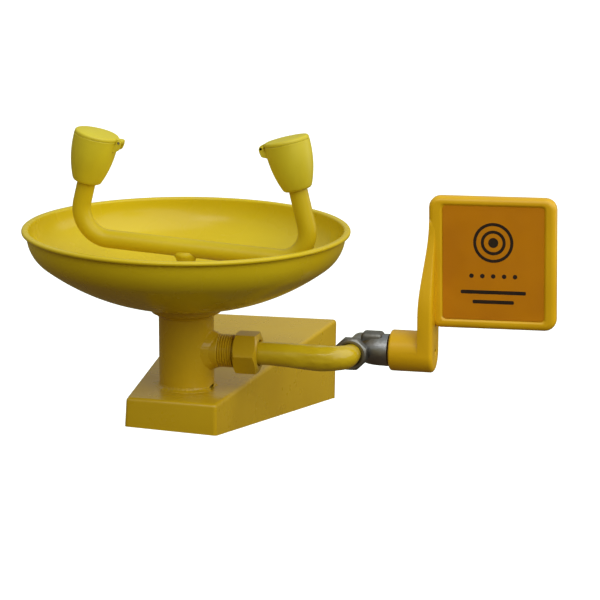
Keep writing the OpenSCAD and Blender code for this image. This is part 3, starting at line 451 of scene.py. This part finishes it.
nut = turned([(NUT_BORE, NUT_FROM, 0), (18.4, NUT_FROM, 0.5), (NUT_CORNER_R, 49.6, 0),
              (NUT_CORNER_R, 67.2, 0), (15.6, NUT_END, 0.6), (LIP_BORE, NUT_END, 0.6),
              (LIP_BORE, LIP_FROM, 0), (NUT_BORE, LIP_FROM, 0)], steps=96)
place(milled(nut, sides=6, half=NUT_HALF), PORT @ ALONG_X)
put(nut, "union_nut_hex", stand_enamel_shaded, "stand", "yellow_enamel", "union_nut")
dress(rubber, "union_gasket")


# Supply pipe: half-inch steel pipe with a collar that the nut pulls on, bent by hand, so the
# section swells above and below the bend and the paint lies a little uneven there.
def draw_out(shape, row):
    """Extrude a row of edges, and give the new row and its points, which still lie where they started."""
    drawn = bmesh.ops.extrude_edge_only(shape, edges=row)["geom"]
    fresh = only(BMVert, drawn)
    fresh_points = set(fresh)
    return [e for e in only(BMEdge, drawn) if fresh_points.issuperset(e.verts)], fresh


def run(shape, loop, way, steps):
    """Draw a ring of edges out along a straight way and give its last ring."""
    for _ in range(steps):
        loop, fresh = draw_out(shape, loop)
        bmesh.ops.translate(shape, verts=fresh, vec=Vector(way) / steps)
    return loop


def bend(shape, loop, centre, axis, degrees, steps):
    """Draw a ring of edges round a bend and give its last ring."""
    points = list(dict.fromkeys(v for e in loop for v in e.verts))
    swept = bmesh.ops.spin(shape, geom=loop + points, axis=axis, cent=centre, angle=math.radians(degrees),
                           steps=steps)
    return only(BMEdge, swept["geom_last"])


def plug(shape, *loops):
    """Close the ends of a tube."""
    for loop in loops:
        bmesh.ops.edgeloop_fill(shape, edges=loop)
    bmesh.ops.recalc_face_normals(shape, faces=shape.faces)


VALVE_X, STEM_Y = 153.0, 40.0
PIPE_R, PIPE_FROM, PIPE_BEND, PIPE_TAIL = 10.65, 65.0, 17.0, 6.5
PULL_R, PULL_BORE, PULL_FROM, PULL_END = 13.4, 8.0, 64.2, 67.4
SWELL_X, SWELL_LONG, SWELL_Y, SWELL_FADE = 124.0, 28.0, 12.0, 6.0
DENT, DENT_ALONG, DENT_ROUND = 0.55, 0.09, 0.28
TALLER, SAGGED = 0.11, 1.7
DRAWN_IN, DRAWN_FROM, DRAWN_OVER = 0.13, 4.0, 12.0
SHIFTED, SHIFT_FROM, SHIFT_OVER = 1.4, 2.0, 10.0
pipe_enamel = finish("pipe_enamel", (0.640, 0.450, 0.009, 1), (0.575, 0.380, 0.007, 1), patch=24,
                     rough=(0.30, 0.42), grain=160, relief=0.00025, sway=0.0006,
                     sockets={"Specular IOR Level": 0.25, "Coat Weight": 0.65, "Coat Roughness": 0.11})
pipe = bmesh.new()
near_end = ring_edges(pipe, PIPE_R, segments=48, spot=Matrix.Translation((PIPE_FROM, 0, 0)) @ ALONG_X)
far_end = run(pipe, near_end, (VALVE_X - PIPE_BEND - PIPE_FROM, 0, 0), steps=60)
far_end = bend(pipe, far_end, (VALVE_X - PIPE_BEND, PIPE_BEND, 0), (0, 0, 1), 90, steps=28)
far_end = run(pipe, far_end, (0, PIPE_TAIL, 0), steps=4)
plug(pipe, near_end, far_end)
pipe.normal_update()
for v in pipe.verts:
    swell = math.exp(-((v.co.x - SWELL_X) / SWELL_LONG) ** 2) * (1 - ramp(v.co.y, SWELL_Y, SWELL_FADE))
    dents = noise.noise(Vector((v.co.x * DENT_ALONG, v.co.y * DENT_ROUND, v.co.z * DENT_ROUND)))
    v.co += v.normal * swell * DENT * dents
    v.co.z += swell * (TALLER * v.co.z - SAGGED)
    drawn_in = DRAWN_IN * ramp(v.co.y, DRAWN_FROM, DRAWN_OVER)
    v.co.x += drawn_in * (VALVE_X - v.co.x) - SHIFTED * ramp(v.co.y, SHIFT_FROM, SHIFT_OVER)
    v.co.z -= drawn_in * v.co.z
pull_ring = turned([(PULL_BORE, PULL_FROM, 0), (PULL_R, PULL_FROM, 0.4), (PULL_R, PULL_END, 0.4),
                    (PULL_BORE, PULL_END, 0)])
pipe = place(together(pipe, place(pull_ring, ALONG_X)), PORT)
put(pipe, "supply_pipe_bend", pipe_enamel, "stand", "yellow_enamel", "supply_pipe")

# Ball valve: investment-cast stainless with an octagon end screwed on the pipe, a round barrel,
# and a stem neck with a raised stop pad. The ball, seats, stem, packing and gland are inside.
ALONG_Y = Matrix.Rotation(math.radians(-90), 4, "X")
VALVE = Matrix.Translation((VALVE_X, STEM_Y, PORT_Z))
cast_steel = finish("cast_steel", (0.32, 0.32, 0.33, 1), (0.22, 0.22, 0.23, 1), patch=55, rough=(0.32, 0.46),
                    grain=420, relief=0.00016, sockets={"Metallic": 1.0})
# A rougher cast skin for the octagon end and the stop pad, painted darker than the cast steel to stand for
# the shade on them.
cast_skin_shaded = finish("cast_skin_shaded", (0.26, 0.25, 0.24, 1), (0.16, 0.155, 0.145, 1), patch=60, rough=(0.42, 0.58),
                   grain=420, relief=0.00022, sockets={"Metallic": 1.0})
white_plastic = finish("white_plastic", (0.78, 0.78, 0.74, 1), (0.72, 0.71, 0.67, 1), patch=40,
                       rough=(0.4, 0.5), grain=900, relief=0.00004)

OCTAGON_R, OCTAGON_HALF, OCTAGON_BORE, OCTAGON_REAR, OCTAGON_WIDER = 15.8, 14.4, 8.2, -13.0, 1.05
OCTAGON_SHIFT = Matrix.Translation((-2.4, -1.5, -1.0))
end_cap = turned([(OCTAGON_BORE, -19.4, 0), (11.2, -22.8, 0.4), (13.4, -23, 0.3), (OCTAGON_R, -20.6, 0),
                  (OCTAGON_R, OCTAGON_REAR, 0), (OCTAGON_BORE, OCTAGON_REAR, 0)], steps=96)
place(milled(end_cap, sides=8, half=OCTAGON_HALF),
      OCTAGON_SHIFT @ VALVE @ ALONG_Y @ Matrix.Diagonal((OCTAGON_WIDER, 1, 1, 1)))
put(end_cap, "valve_end_octagon", cast_skin_shaded, "stand", "stainless", "valve_end_cap")

BARREL_R, BARREL_BORE, BARREL_FRONT, BARREL_REAR = 10.5, 8.8, -15.0, 19.0
INLET_R, INLET_FROM = 9.3, 11.0
barrel = turned([(BARREL_BORE, BARREL_FRONT, 0), (BARREL_R, BARREL_FRONT, 0.6), (BARREL_R, BARREL_REAR, 0.7),
                 (INLET_R, BARREL_REAR, 0.4), (INLET_R, INLET_FROM, 0), (BARREL_BORE, INLET_FROM, 0)],
                steps=72)
place(barrel, VALVE @ ALONG_Y)
STEM_HOLE_R, GLAND_HOLE_R, GLAND_FROM = 5.1, 8.05, 20.0
NECK_FROM, NECK_END = 2.0, 29.8
NECK_DROP = Matrix.Translation((0, 0, -0.35))
neck = turned([(STEM_HOLE_R, NECK_FROM, 0), (9.8, NECK_FROM, 0), (13.2, 8.0, 3.0), (14.6, 15, 4),
               (15.0, NECK_END, 0.4), (GLAND_HOLE_R, NECK_END, 0.5), (GLAND_HOLE_R, GLAND_FROM, 0),
               (STEM_HOLE_R, GLAND_FROM, 0)], steps=72)
place(neck, NECK_DROP @ VALVE @ ALONG_X)
put(together(barrel, neck), "valve_body_casting", cast_steel, "stand", "stainless", "valve_body")

PAD_FROM, PAD_TO, PAD_WIDE, PAD_TOP, PAD_DEEP, PAD_ROUND = 4.0, 24.2, 17.0, 16.2, 9.0, 3.6
pad_middle = Matrix.Translation(((PAD_FROM + PAD_TO) / 2, 0, PAD_TOP - PAD_DEEP / 2))
pad = bmesh.new()
bmesh.ops.create_cube(pad, size=1, matrix=VALVE @ pad_middle
                      @ Matrix.Diagonal((PAD_TO - PAD_FROM, PAD_WIDE, PAD_DEEP, 1)))
soften(pad, pad.edges[:], PAD_ROUND, segments=7)
put(pad, "valve_stop_pad", cast_skin_shaded, "stand", "stainless")
dress(white_plastic, "ball_seats", "stem_packing")
dress(steel, "gland_nut", "valve_stem", "valve_ball")

# Push handle: one moulding of orange-yellow plastic. The hub sits on the valve's stem, locked by a black
# grub screw whose dark finish is also painted shade for its hole, and the arm rises from its outer end
# into the framed paddle's left border.
AMBER = (0.790, 0.448, 0.006, 1)
DEEP_AMBER = (0.730, 0.395, 0.004, 1)
HUB = Matrix.Translation((0, STEM_Y, PORT_Z))
HUB_R, HUB_SIDES, HUB_IN, HUB_OUT, ARM_IN = 19.0, 64, 184.6, 226.0, 212.2
moulded = finish("paddle_plastic", AMBER, DEEP_AMBER, patch=16, rough=(0.30, 0.38), grain=1500,
                 relief=0.00003, sway=0.0002,
                 sockets={"Specular IOR Level": 0.35, "Coat Weight": 0.08, "Coat Roughness": 0.18})
# Black steel for the grub screw: a real dark finish that also serves as painted shade deep in its hole.
black_for_hole_shade = finish("black_steel_hole_shade", (0.030, 0.028, 0.026, 1), (0.018, 0.017, 0.016, 1), patch=90,
                   rough=(0.4, 0.55), grain=900, relief=0.00005, sockets={"Metallic": 0.6})

GRUB_R, GRUB_IN, GRUB_OUT, GRUB_KEY_R, GRUB_KEY_FLOOR = 2.9, 213.0, 224.8, 1.3, 223.2
grub = turned([(0, GRUB_KEY_FLOOR, 0), (GRUB_KEY_R, GRUB_KEY_FLOOR, 0), (GRUB_KEY_R, GRUB_OUT, 0.2),
               (GRUB_R, GRUB_OUT, 0.3), (GRUB_R, GRUB_IN, 0.4), (0, GRUB_IN, 0)], steps=36)
place(grub, HUB @ ALONG_X)
put(grub, "handle_screw_grub", black_for_hole_shade, "handle", "stainless", "handle_screw")

PADDLE_L, PADDLE_HALF, PADDLE_ROUND, PADDLE_TILT = 219.5, 5.5, 10.5, math.radians(-0.85)
PADDLE = (PADDLE_L, 336.5, 25.2, 147.5)
PADDLE_MIDDLE = Matrix.Translation((278, 0, 86))
FRONT_ROUND, REAR_ROUND, WINDOW_ROUND, WINDOW_BORDER = 5.0, 2.2, 0.8, 7.0
HUB_ROUND, GRUB_HOLE_ROUND, ARM_ROUND, SHARP_ABOVE = 2.2, 0.5, 1.5, math.radians(50)
SHOULDER, ARM_FOOT, TAPER_LOW, TAPER_HIGH, TAPER_STEPS = 24.0, 30.0, 37.0, 122.0, 18
TIP_RISE, TIP_SHARE, TIP_BACK, SUNK = 10.0, 1.25, 0.8, 0.1
HUB_RINGS = (0.25, 0.5, 0.9, 1.4, 2.0)
GRUB_HOLE_R, GRUB_HOLE_DEEP = 3.0, 5.0
CROWN_WIDE, CROWN_SHARE, CROWN_DEEP, CROWN_MORE, CROWN_LEAST = 4.6, 0.8, 1.2, 2.6, 0.6


def push(shape, face, way):
    """Push a face along a way, with new sides behind it, and give the face that moved."""
    moved = bmesh.ops.extrude_face_region(shape, geom=[face])["geom"]
    bmesh.ops.translate(shape, verts=only(BMVert, moved), vec=way)
    if face.is_valid:
        bmesh.ops.delete(shape, geom=[face], context="FACES_ONLY")
    return only(BMFace, moved)[0]


def hub_disc(shape, x):
    """The hub's round face at a place along its axis."""
    return next(f for f in shape.faces
                if len(f.verts) == HUB_SIDES and abs(f.calc_center_median().x - x) < 0.01)


def sharp(shape, test):
    """The sharp edges whose points both pass a test."""
    return [e for e in shape.edges if len(e.link_faces) == 2 and e.calc_face_angle() > SHARP_ABOVE
            and all(test(v.co) for v in e.verts)]


arm = bmesh.new()
bmesh.ops.create_circle(arm, cap_ends=True, radius=HUB_R, segments=HUB_SIDES,
                        matrix=Matrix.Translation((ARM_IN, 0, 0)) @ ALONG_X)
row = [e for e in arm.edges if all(v.co.z > -1e-4 for v in e.verts)]
taper = [i / TAPER_STEPS for i in range(TAPER_STEPS + 1)]
rises = [(SHOULDER, 0.0), (ARM_FOOT, 0.0)]
rises += [(TAPER_LOW + (TAPER_HIGH - TAPER_LOW) * share, share) for share in taper]
rises += [(TAPER_HIGH + TIP_RISE, TIP_SHARE)]
half = HUB_R
for height, share in rises:
    eased = share * share * (3 - 2 * share) if share <= 1 else share
    last_half = half
    half = HUB_R + (PADDLE_HALF - SUNK - HUB_R) * eased
    row, fresh = draw_out(arm, row)
    for v in fresh:
        v.co = (ARM_IN + (PADDLE_L + SUNK - ARM_IN) * eased, v.co.y / last_half * half, height)
pulled = bmesh.ops.extrude_face_region(arm, geom=arm.faces[:], use_keep_orig=True)["geom"]
for v in only(BMVert, pulled):
    v.co.x = HUB_OUT if v.co.z < TAPER_HIGH + 1 else HUB_OUT - TIP_BACK
arm.normal_update()
push(arm, hub_disc(arm, ARM_IN), (HUB_IN - ARM_IN, 0, 0))
bmesh.ops.recalc_face_normals(arm, faces=arm.faces)
outer = hub_disc(arm, HUB_OUT)
for step in (*HUB_RINGS, HUB_R - GRUB_HOLE_R - sum(HUB_RINGS)):
    bmesh.ops.inset_region(arm, faces=[outer], thickness=step, use_even_offset=True)
outer_side = [v for v in arm.verts if v.co.x > HUB_OUT - TIP_BACK - 0.1]
half_at = {}
for v in outer_side:
    at_z = round(v.co.z, 2)
    half_at[at_z] = max(abs(v.co.y), half_at.get(at_z, 0))
for v in outer_side:
    half = half_at[round(v.co.z, 2)] if v.co.z > SHOULDER - 0.1 else HUB_R
    inward = half - (abs(v.co.y) if v.co.z > 0 else v.co.yz.length)
    wide = min(CROWN_WIDE, CROWN_SHARE * half)
    deep = max(CROWN_LEAST, CROWN_DEEP + CROWN_MORE * (half - PADDLE_HALF) / (HUB_R - PADDLE_HALF))
    if inward < wide:
        v.co.x -= deep * (1 - math.sqrt(max(0.0, 1 - (1 - inward / wide) ** 2)))
push(arm, outer, (-GRUB_HOLE_DEEP, 0, 0))
arm.normal_update()
soften(arm, sharp(arm, lambda p: abs(p.x - HUB_IN) < 0.01), HUB_ROUND, segments=4)
soften(arm, sharp(arm, lambda p: p.x > HUB_OUT - 0.5 and p.yz.length < GRUB_HOLE_R + 1), GRUB_HOLE_ROUND,
       segments=2)
soften(arm, sharp(arm, lambda p: ARM_IN - 0.01 < p.x < PADDLE_L + 0.2 and p.z > -0.01
                  and p.yz.length > HUB_R - 0.01), ARM_ROUND, segments=3)
bmesh.ops.recalc_face_normals(arm, faces=arm.faces)


def frame_loop(shape, box, rounding, y):
    """Draw a rectangle with round corners across the paddle."""
    left, right, low, high = box
    corners = [(left, low, rounding), (right, low, rounding), (right, high, rounding), (left, high, rounding)]
    return outline(shape, corners, Matrix.Translation((0, y, 0)) @ UPRIGHT)


def fit(face, box):
    """Stretch a window's face to its place on the paddle."""
    left, right, low, high = box
    xs, zs = [v.co.x for v in face.verts], [v.co.z for v in face.verts]
    for v, x, z in zip(face.verts, xs, zs):
        v.co.x = left + (right - left) * (x - min(xs)) / (max(xs) - min(xs))
        v.co.z = low + (high - low) * (z - min(zs)) / (max(zs) - min(zs))


def window(shape, loop, mouth, bottom, depth):
    """Sink a framed window into one side of the paddle and give the edges of its mouth."""
    pane = bmesh.ops.edgeloop_fill(shape, edges=loop)["faces"][0]
    bmesh.ops.inset_region(shape, faces=[pane], thickness=WINDOW_BORDER, use_even_offset=True)
    fit(pane, mouth)
    rim = list(pane.edges)
    fit(push(shape, pane, (0, depth, 0)), bottom)
    return rim


MOUTH = (230.6, 327.5, 32.3, 141.0)
RECESS = (232.5, 325.7, 34.1, 139.2)
BACK = (234.0, 327.5, 35.5, 137.0)
RECESS_DEEP, BACK_DEEP = 1.8, 2.0
paddle = bmesh.new()
front = frame_loop(paddle, PADDLE, PADDLE_ROUND, -PADDLE_HALF)
rear = frame_loop(paddle, PADDLE, PADDLE_ROUND, PADDLE_HALF)
bmesh.ops.bridge_loops(paddle, edges=front + rear)
mouth_rim = window(paddle, front, MOUTH, RECESS, RECESS_DEEP)
back_rim = window(paddle, rear, BACK, BACK, -BACK_DEEP)
bmesh.ops.recalc_face_normals(paddle, faces=paddle.faces)
soften(paddle, front, FRONT_ROUND, segments=8)
soften(paddle, rear, REAR_ROUND, segments=4)
soften(paddle, mouth_rim, WINDOW_ROUND, segments=3)
soften(paddle, back_rim, WINDOW_ROUND, segments=2)
SKEW = PADDLE_MIDDLE @ Matrix.Rotation(PADDLE_TILT, 4, "Y") @ PADDLE_MIDDLE.inverted()
handle = place(together(arm, place(paddle, SKEW)), HUB)
put(handle, "push_handle_moulding", moulded, "handle", "paddle_plastic", "push_handle")

# Label plate: a thin plastic card glued in the paddle's recess, orange with a plain printed
# target of rings, a row of dots and two bars in dark brown ink.
film = finish("label_print", (0.620, 0.222, 0.001, 1), (0.560, 0.192, 0.001, 1), patch=22,
              rough=(0.38, 0.46), grain=1300, relief=0.00003, sockets={"Specular IOR Level": 0.3})
ink = finish("label_ink", (0.020, 0.008, 0.004, 1), (0.012, 0.005, 0.003, 1), patch=90, rough=(0.35, 0.5),
             grain=1500, relief=0.00002)
CARD_GAP, CARD_THICK, CARD_ROUND, INK = 0.2, 0.8, 3.0, 0.08
CARD = (RECESS[0] + CARD_GAP, RECESS[1] - CARD_GAP, RECESS[2] + CARD_GAP, RECESS[3] - CARD_GAP)
CARD_BACK = RECESS_DEEP - PADDLE_HALF
CARD_FRONT = CARD_BACK - CARD_THICK
MARK_X, RINGS_Z, DOTS_Z = 279.2, 106.0, 75.0
RINGS = ((0, 4.6), (8.6, 11.4), (15.6, 18.4))
DOTS, DOT_R, DOT_PITCH = 5, 2.1, 10.0
BARS, BAR_HALF, BAR_ROUND = ((30, 60), (19, 51)), 1.7, 1.2


def printed_ring(inner, outer, x, z, steps):
    """A ring or a dot of ink on the card."""
    ring = turned([(inner, 0, 0), (outer, 0, 0), (outer, INK, 0), (inner, INK, 0)], steps)
    return place(ring, Matrix.Translation((x, CARD_FRONT, z)) @ UPRIGHT)


def tablet(box, rounding, y, depth):
    """A flat plate with round corners that lies along the paddle."""
    shape = bmesh.new()
    edges = frame_loop(shape, box, rounding, y)
    thicken(shape, bmesh.ops.edgeloop_fill(shape, edges=edges)["faces"], (0, depth, 0))
    return shape


card = place(tablet(CARD, CARD_ROUND, CARD_BACK, CARD_FRONT - CARD_BACK), HUB @ SKEW)
put(card, "label_card", film, "handle", "label_print", "label_plate")
marks = [printed_ring(inner, outer_r, MARK_X, RINGS_Z, steps=72) for inner, outer_r in RINGS]
for i in range(DOTS):
    marks.append(printed_ring(0, DOT_R, MARK_X + DOT_PITCH * (i - (DOTS - 1) / 2), DOTS_Z, steps=32))
for reach, z in BARS:
    bar = (MARK_X - reach, MARK_X + reach, z - BAR_HALF, z + BAR_HALF)
    marks.append(tablet(bar, BAR_ROUND, CARD_FRONT, -INK))
put(place(together(*marks), HUB @ SKEW), "label_marks", ink, "handle", "label_print")

# Spray yoke: three-eighths steel tube bent up at both ends, standing on a stub that is welded under
# its middle. Enamelled like the bowl; the right arm is a little longer than the left.
YOKE_R, YOKE_Z, YOKE_BEND, RISER, LEAN = 8.55, 132.0, 28.0, 22.5, 13.5
REACH_LEFT, REACH_RIGHT, CUP_SOCKET = 100.0, 112.0, 9.5
SAG, SAG_Z, LEFT_BEND, RIGHT_BEND = 3.7, 131.0, 28.0, 25.0
STUB_BORE, STUB_LOW, STUB_TOP = 4.0, 99.5, 128.0
FILLET_FROM, FILLET_WANDER, FILLET_NOISE = 118.0, 0.45, 0.22
# A darker copy of the bowl's yellow enamel: painted shade that falls on the yoke under the cups.
yoke_enamel_shaded = finish("yoke_enamel_shaded", (0.605, 0.440, 0.009, 1), (0.545, 0.385, 0.007, 1), patch=7,
                     rough=(0.32, 0.44), grain=700, relief=0.00001, sway=0.0006,
                     sockets={"Specular IOR Level": 0.20, "Coat Weight": 0.06, "Coat Roughness": 0.12})
bend_z = YOKE_Z + YOKE_BEND
bar_way = Vector((math.cos(math.radians(SAG)), 0, -math.sin(math.radians(SAG))))
bar_up = Vector((-bar_way.z, 0, bar_way.x))


def riser_line(reach, facing, turn, radius):
    """Where a riser meets the bar, how far from there its bend begins, its way up and its length."""
    lean = math.radians(LEAN)
    top = Vector((facing * (reach - YOKE_BEND + YOKE_BEND * math.cos(lean) - RISER * math.sin(lean)), 0,
                  bend_z + YOKE_BEND * math.sin(lean) + RISER * math.cos(lean)))
    up = Vector((-facing * math.sin(lean), 0, math.cos(lean)))
    length = (top - Vector((0, 0, SAG_Z))).dot(bar_up) / up.dot(bar_up)
    return top - up * length, radius * math.tan(math.radians(turn) / 2), up, length


left_turn, right_turn = 90 + LEAN - SAG, 90 + LEAN + SAG
left_meet, left_cut, left_up, left_length = riser_line(REACH_LEFT, -1, left_turn, LEFT_BEND)
right_meet, right_cut, right_up, right_length = riser_line(REACH_RIGHT, 1, right_turn, RIGHT_BEND)
left_foot, right_foot = left_meet + bar_way * left_cut, right_meet - bar_way * right_cut
yoke = bmesh.new()
bar_start = ring_edges(yoke, YOKE_R, segments=40, spot=Matrix.Translation(left_foot)
                       @ Matrix.Rotation(math.radians(90 + SAG), 4, "Y"))
right_end = run(yoke, bar_start, right_foot - left_foot, steps=30)
right_end = bend(yoke, right_end, right_foot + bar_up * RIGHT_BEND, (0, -1, 0), right_turn, steps=26)
right_end = run(yoke, right_end, right_up * (right_length - right_cut + CUP_SOCKET), steps=6)
left_end = bend(yoke, bar_start, left_foot + bar_up * LEFT_BEND, (0, 1, 0), left_turn, steps=26)
left_end = run(yoke, left_end, left_up * (left_length - left_cut + CUP_SOCKET), steps=6)
bmesh.ops.remove_doubles(yoke, verts=yoke.verts, dist=1e-3)
plug(yoke, [e for e in left_end if e.is_valid], [e for e in right_end if e.is_valid])
stub = turned([(STUB_BORE, STUB_LOW, 0), (8.25, STUB_LOW, 0.3), (8.0, 118.5, 4), (11.2, 124.6, 1.5),
               (9.6, STUB_TOP, 0), (STUB_BORE, STUB_TOP, 0)], steps=120)
for v in stub.verts:
    if v.co.z > FILLET_FROM:
        away = Vector((v.co.x, v.co.y, 0)).normalized()
        v.co += away * FILLET_WANDER * noise.noise(v.co * FILLET_NOISE)
put(together(yoke, stub), "yoke_tube_bent", yoke_enamel_shaded, "stand", "yellow_enamel", "yoke_tube")

# Spray heads: moulded cups pushed on the yoke's ends, each with a drilled disc in its mouth and
# a dust lid that hinges on a pin between two ears at its inner side. Satin yellow plastic.
LEMON = (0.660, 0.535, 0.018, 1)
DEEP_LEMON = (0.615, 0.485, 0.014, 1)
satin = finish("yellow_plastic", LEMON, DEEP_LEMON, patch=30, rough=(0.42, 0.52), grain=1300, relief=0.00004,
               sway=0.0002)
CUP_R, CUP_RIM_Z, CUP_SIDE_R, CUP_SIDE_Z, FOOT_R = 20.9, 44.0, 95.8, 39.0, 4.0
CUP_BORE, CUP_BORE_LOW, CUP_BORE_TOP, CUP_MOUTH = 8.6, 1.4, 12.3, 9.8
CHAMBER_R, DISC_R, DISC_Z = 14.5, 17.6, 35.5
CUP_INSIDE = ((CUP_R, CUP_RIM_Z - 0.4), (CUP_R - 0.4, CUP_RIM_Z), (DISC_R + 0.3, CUP_RIM_Z),
              (DISC_R, CUP_RIM_Z - 0.3), (DISC_R, DISC_Z), (CHAMBER_R, DISC_Z), (CHAMBER_R, CUP_BORE_TOP),
              (CUP_BORE, CUP_BORE_TOP), (CUP_BORE, CUP_BORE_LOW))
PIN_U, EAR_BACK, EAR_FRONT, EAR_TOP, EAR_IN, EAR_OUT = 23.4, 2.4, 2.0, 46.5, 4.3, 7.3
EAR = [(19.0, 35.0, 0), (24.4, 37.4, 0.9), (PIN_U + EAR_FRONT, 41.5, 0), (PIN_U + EAR_FRONT, EAR_TOP, 2.0),
       (PIN_U - EAR_BACK, EAR_TOP, 1.2), (PIN_U - EAR_BACK, 42.0, 0), (19.0, 42.0, 0)]
LID_LOW, LID_TOP, LID_R, PLUG_R, PLUG_LOW = 44.15, 47.3, 20.7, 17.0, 40.3
LID = [(0, LID_TOP + 1.2, 0), (9, LID_TOP + 1.0, 3), (LID_R, LID_TOP + 0.3, 2.0), (LID_R, LID_LOW, 0.3),
       (PLUG_R, LID_LOW, 0), (PLUG_R, PLUG_LOW, 0.4), (0, PLUG_LOW, 0)]
TONGUE_HALF, TONGUE_FROM, TONGUE_TIP = 4.0, 16.5, PIN_U + 2.2
side_centre = (CUP_R - CUP_SIDE_R, CUP_SIDE_Z)
foot_turn = math.degrees(math.asin((FOOT_R - CUP_SIDE_Z) / (CUP_SIDE_R - FOOT_R)))
foot_centre = (side_centre[0] + (CUP_SIDE_R - FOOT_R) * math.cos(math.radians(foot_turn)), FOOT_R)


def slab(points, y_low, y_high):
    """A plate cut to an outline in the head's upright plane."""
    shape = bmesh.new()
    edges = outline(shape, points, Matrix.Translation((0, y_low, 0)) @ UPRIGHT)
    thicken(shape, bmesh.ops.edgeloop_fill(shape, edges=edges)["faces"], (0, y_high - y_low, 0))
    return shape


for hand, reach, facing, raised in (("left", REACH_LEFT, 0, 0.0), ("right", REACH_RIGHT, 180, 1.2)):
    head = (Matrix.Rotation(math.radians(facing), 4, "Z") @ Matrix.Translation((YOKE_BEND - reach, 0, bend_z))
            @ Matrix.Rotation(math.radians(LEAN), 4, "Y") @ Matrix.Translation((-YOKE_BEND, 0, RISER)))
    lift = Matrix.Translation((0, 0, raised))
    cup = bmesh.new()
    first = cup.verts.new((CUP_MOUTH, 0, 0))
    end = line(cup, first, foot_centre[0], 0)
    end = arc(cup, end, foot_centre, 90 + foot_turn, steps=6)
    end = arc(cup, end, side_centre, -foot_turn, steps=14)
    for radius, height in CUP_INSIDE:
        end = line(cup, end, radius, height)
    cup.edges.new((end, first))
    place(spun(cup, steps=72), lift)
    cup = together(cup, slab(EAR, -EAR_OUT, -EAR_IN), slab(EAR, EAR_IN, EAR_OUT))
    put(place(cup, head), "spray_cup_" + hand + "_moulding", satin, "stand", "yellow_plastic",
        "spray_cup_" + hand)
    tongue_low, tongue_top = LID_LOW + raised + 0.1, LID_TOP + raised - 0.2
    tongue = slab([(TONGUE_FROM, tongue_low, 0), (21.6, tongue_low, 0), (22.0, 42.8, 0.3),
                   (TONGUE_TIP, 42.8, 1.8), (TONGUE_TIP, 46.9, 1.8), (19.5, tongue_top, 0),
                   (TONGUE_FROM, tongue_top, 0)], -TONGUE_HALF, TONGUE_HALF)
    lid = together(place(turned(LID, steps=72), lift), tongue)
    put(place(lid, head), "dust_lid_" + hand + "_moulding", satin, "lid_" + hand, "yellow_plastic",
        "dust_lid_" + hand)
    dress(white_plastic, "spray_disc_" + hand)
    dress(steel, "lid_pin_" + hand)

# Studio: a pale floor well below the part, a broad soft key from above, a side panel, a front card
# that shows only as a reflection, a dim surround below, and the camera at eye height to the right.
FLOOR_Z, FLOOR_SIZE = -0.9, 40
pale = finish("pale_floor", (0.93, 0.93, 0.93, 1), (0.91, 0.91, 0.91, 1), patch=0.6, rough=(0.8, 0.9),
              grain=40, relief=0.0002, sockets={"Emission Color": (1, 1, 1, 1), "Emission Strength": 0.35})
ground = bmesh.new()
bmesh.ops.create_grid(ground, x_segments=1, y_segments=1, size=FLOOR_SIZE,
                      matrix=Matrix.Translation((0, 0, FLOOR_Z)))
ground_mesh = bpy.data.meshes.new("studio_floor")
ground.to_mesh(ground_mesh)
ground.free()
ground_mesh.materials.append(pale)
floor_piece = bpy.data.objects.new("studio_floor", ground_mesh)
bpy.context.scene.collection.objects.link(floor_piece)
floor_piece.visible_diffuse = False
floor_piece.visible_glossy = False

BELOW, HORIZON, ABOVE = (0.17, 0.12, 0.07, 1), (0.50, 0.41, 0.17, 1), (0.93, 1.0, 0.98, 1)
BELOW_AT, HORIZON_AT, ABOVE_AT = 0.25, 0.52, 0.82
world = bpy.data.worlds.new("soft_surround")
bpy.context.scene.world = world
world.use_nodes = True
sky, sky_links = world.node_tree.nodes, world.node_tree.links
bearing = sky.new("ShaderNodeTexCoord")
split = sky.new("ShaderNodeSeparateXYZ")
blend = sky.new("ShaderNodeValToRGB")
upward = sky.new("ShaderNodeMapRange")
upward.inputs["From Min"].default_value = -1
sky_links.new(bearing.outputs["Generated"], split.inputs["Vector"])
sky_links.new(split.outputs["Z"], upward.inputs["Value"])
sky_links.new(upward.outputs["Result"], blend.inputs["Fac"])
for stop, position, colour in zip(blend.color_ramp.elements, (BELOW_AT, ABOVE_AT), (BELOW, ABOVE)):
    stop.position = position
    stop.color = colour
blend.color_ramp.elements.new(HORIZON_AT).color = HORIZON
sky_links.new(blend.outputs["Color"], sky["Background"].inputs["Color"])
sky["Background"].inputs["Strength"].default_value = 0.60


def hang(light, spot, aim):
    """Hang a panel of light at a spot and aim it."""
    lamp = bpy.data.objects.new(light.name, light)
    lamp.location = spot
    lamp.rotation_euler = (Vector(aim) - lamp.location).to_track_quat("-Z", "Y").to_euler()
    bpy.context.scene.collection.objects.link(lamp)
    return lamp


key = bpy.data.lights.new("soft_key", "SUN")
key.energy = 2.25
key.color = (0.94, 1.0, 0.95)
key.angle = math.radians(80)
key_light = bpy.data.objects.new("soft_key", key)
key_light.rotation_euler = (math.radians(25), math.radians(37), 0)
bpy.context.scene.collection.objects.link(key_light)

side_panel = bpy.data.lights.new("side_panel", "AREA")
side_panel.energy = 2.5
side_panel.size = 0.7
hang(side_panel, (1.15, 0.30, 0.35), (0.05, -0.12, 0.05))

front_card = bpy.data.lights.new("front_card", "AREA")
front_card.shape = "RECTANGLE"
front_card.energy = 2.5
front_card.size = 0.6
front_card.size_y = 0.5
hang(front_card, (-0.17, -1.40, 1.30), (0.10, -0.25, 0.10)).visible_diffuse = False

camera = bpy.data.cameras.new("studio_camera")
camera.lens = 172.53
camera.sensor_width = 36
studio_camera = bpy.data.objects.new("studio_camera", camera)
studio_camera.location = (0.6933, -2.77573, 0.71289)
studio_camera.rotation_euler = (math.radians(77.11), 0, math.radians(13.26))
bpy.context.scene.collection.objects.link(studio_camera)
bpy.context.scene.camera = studio_camera
bpy.context.scene.view_settings.view_transform = "Standard"
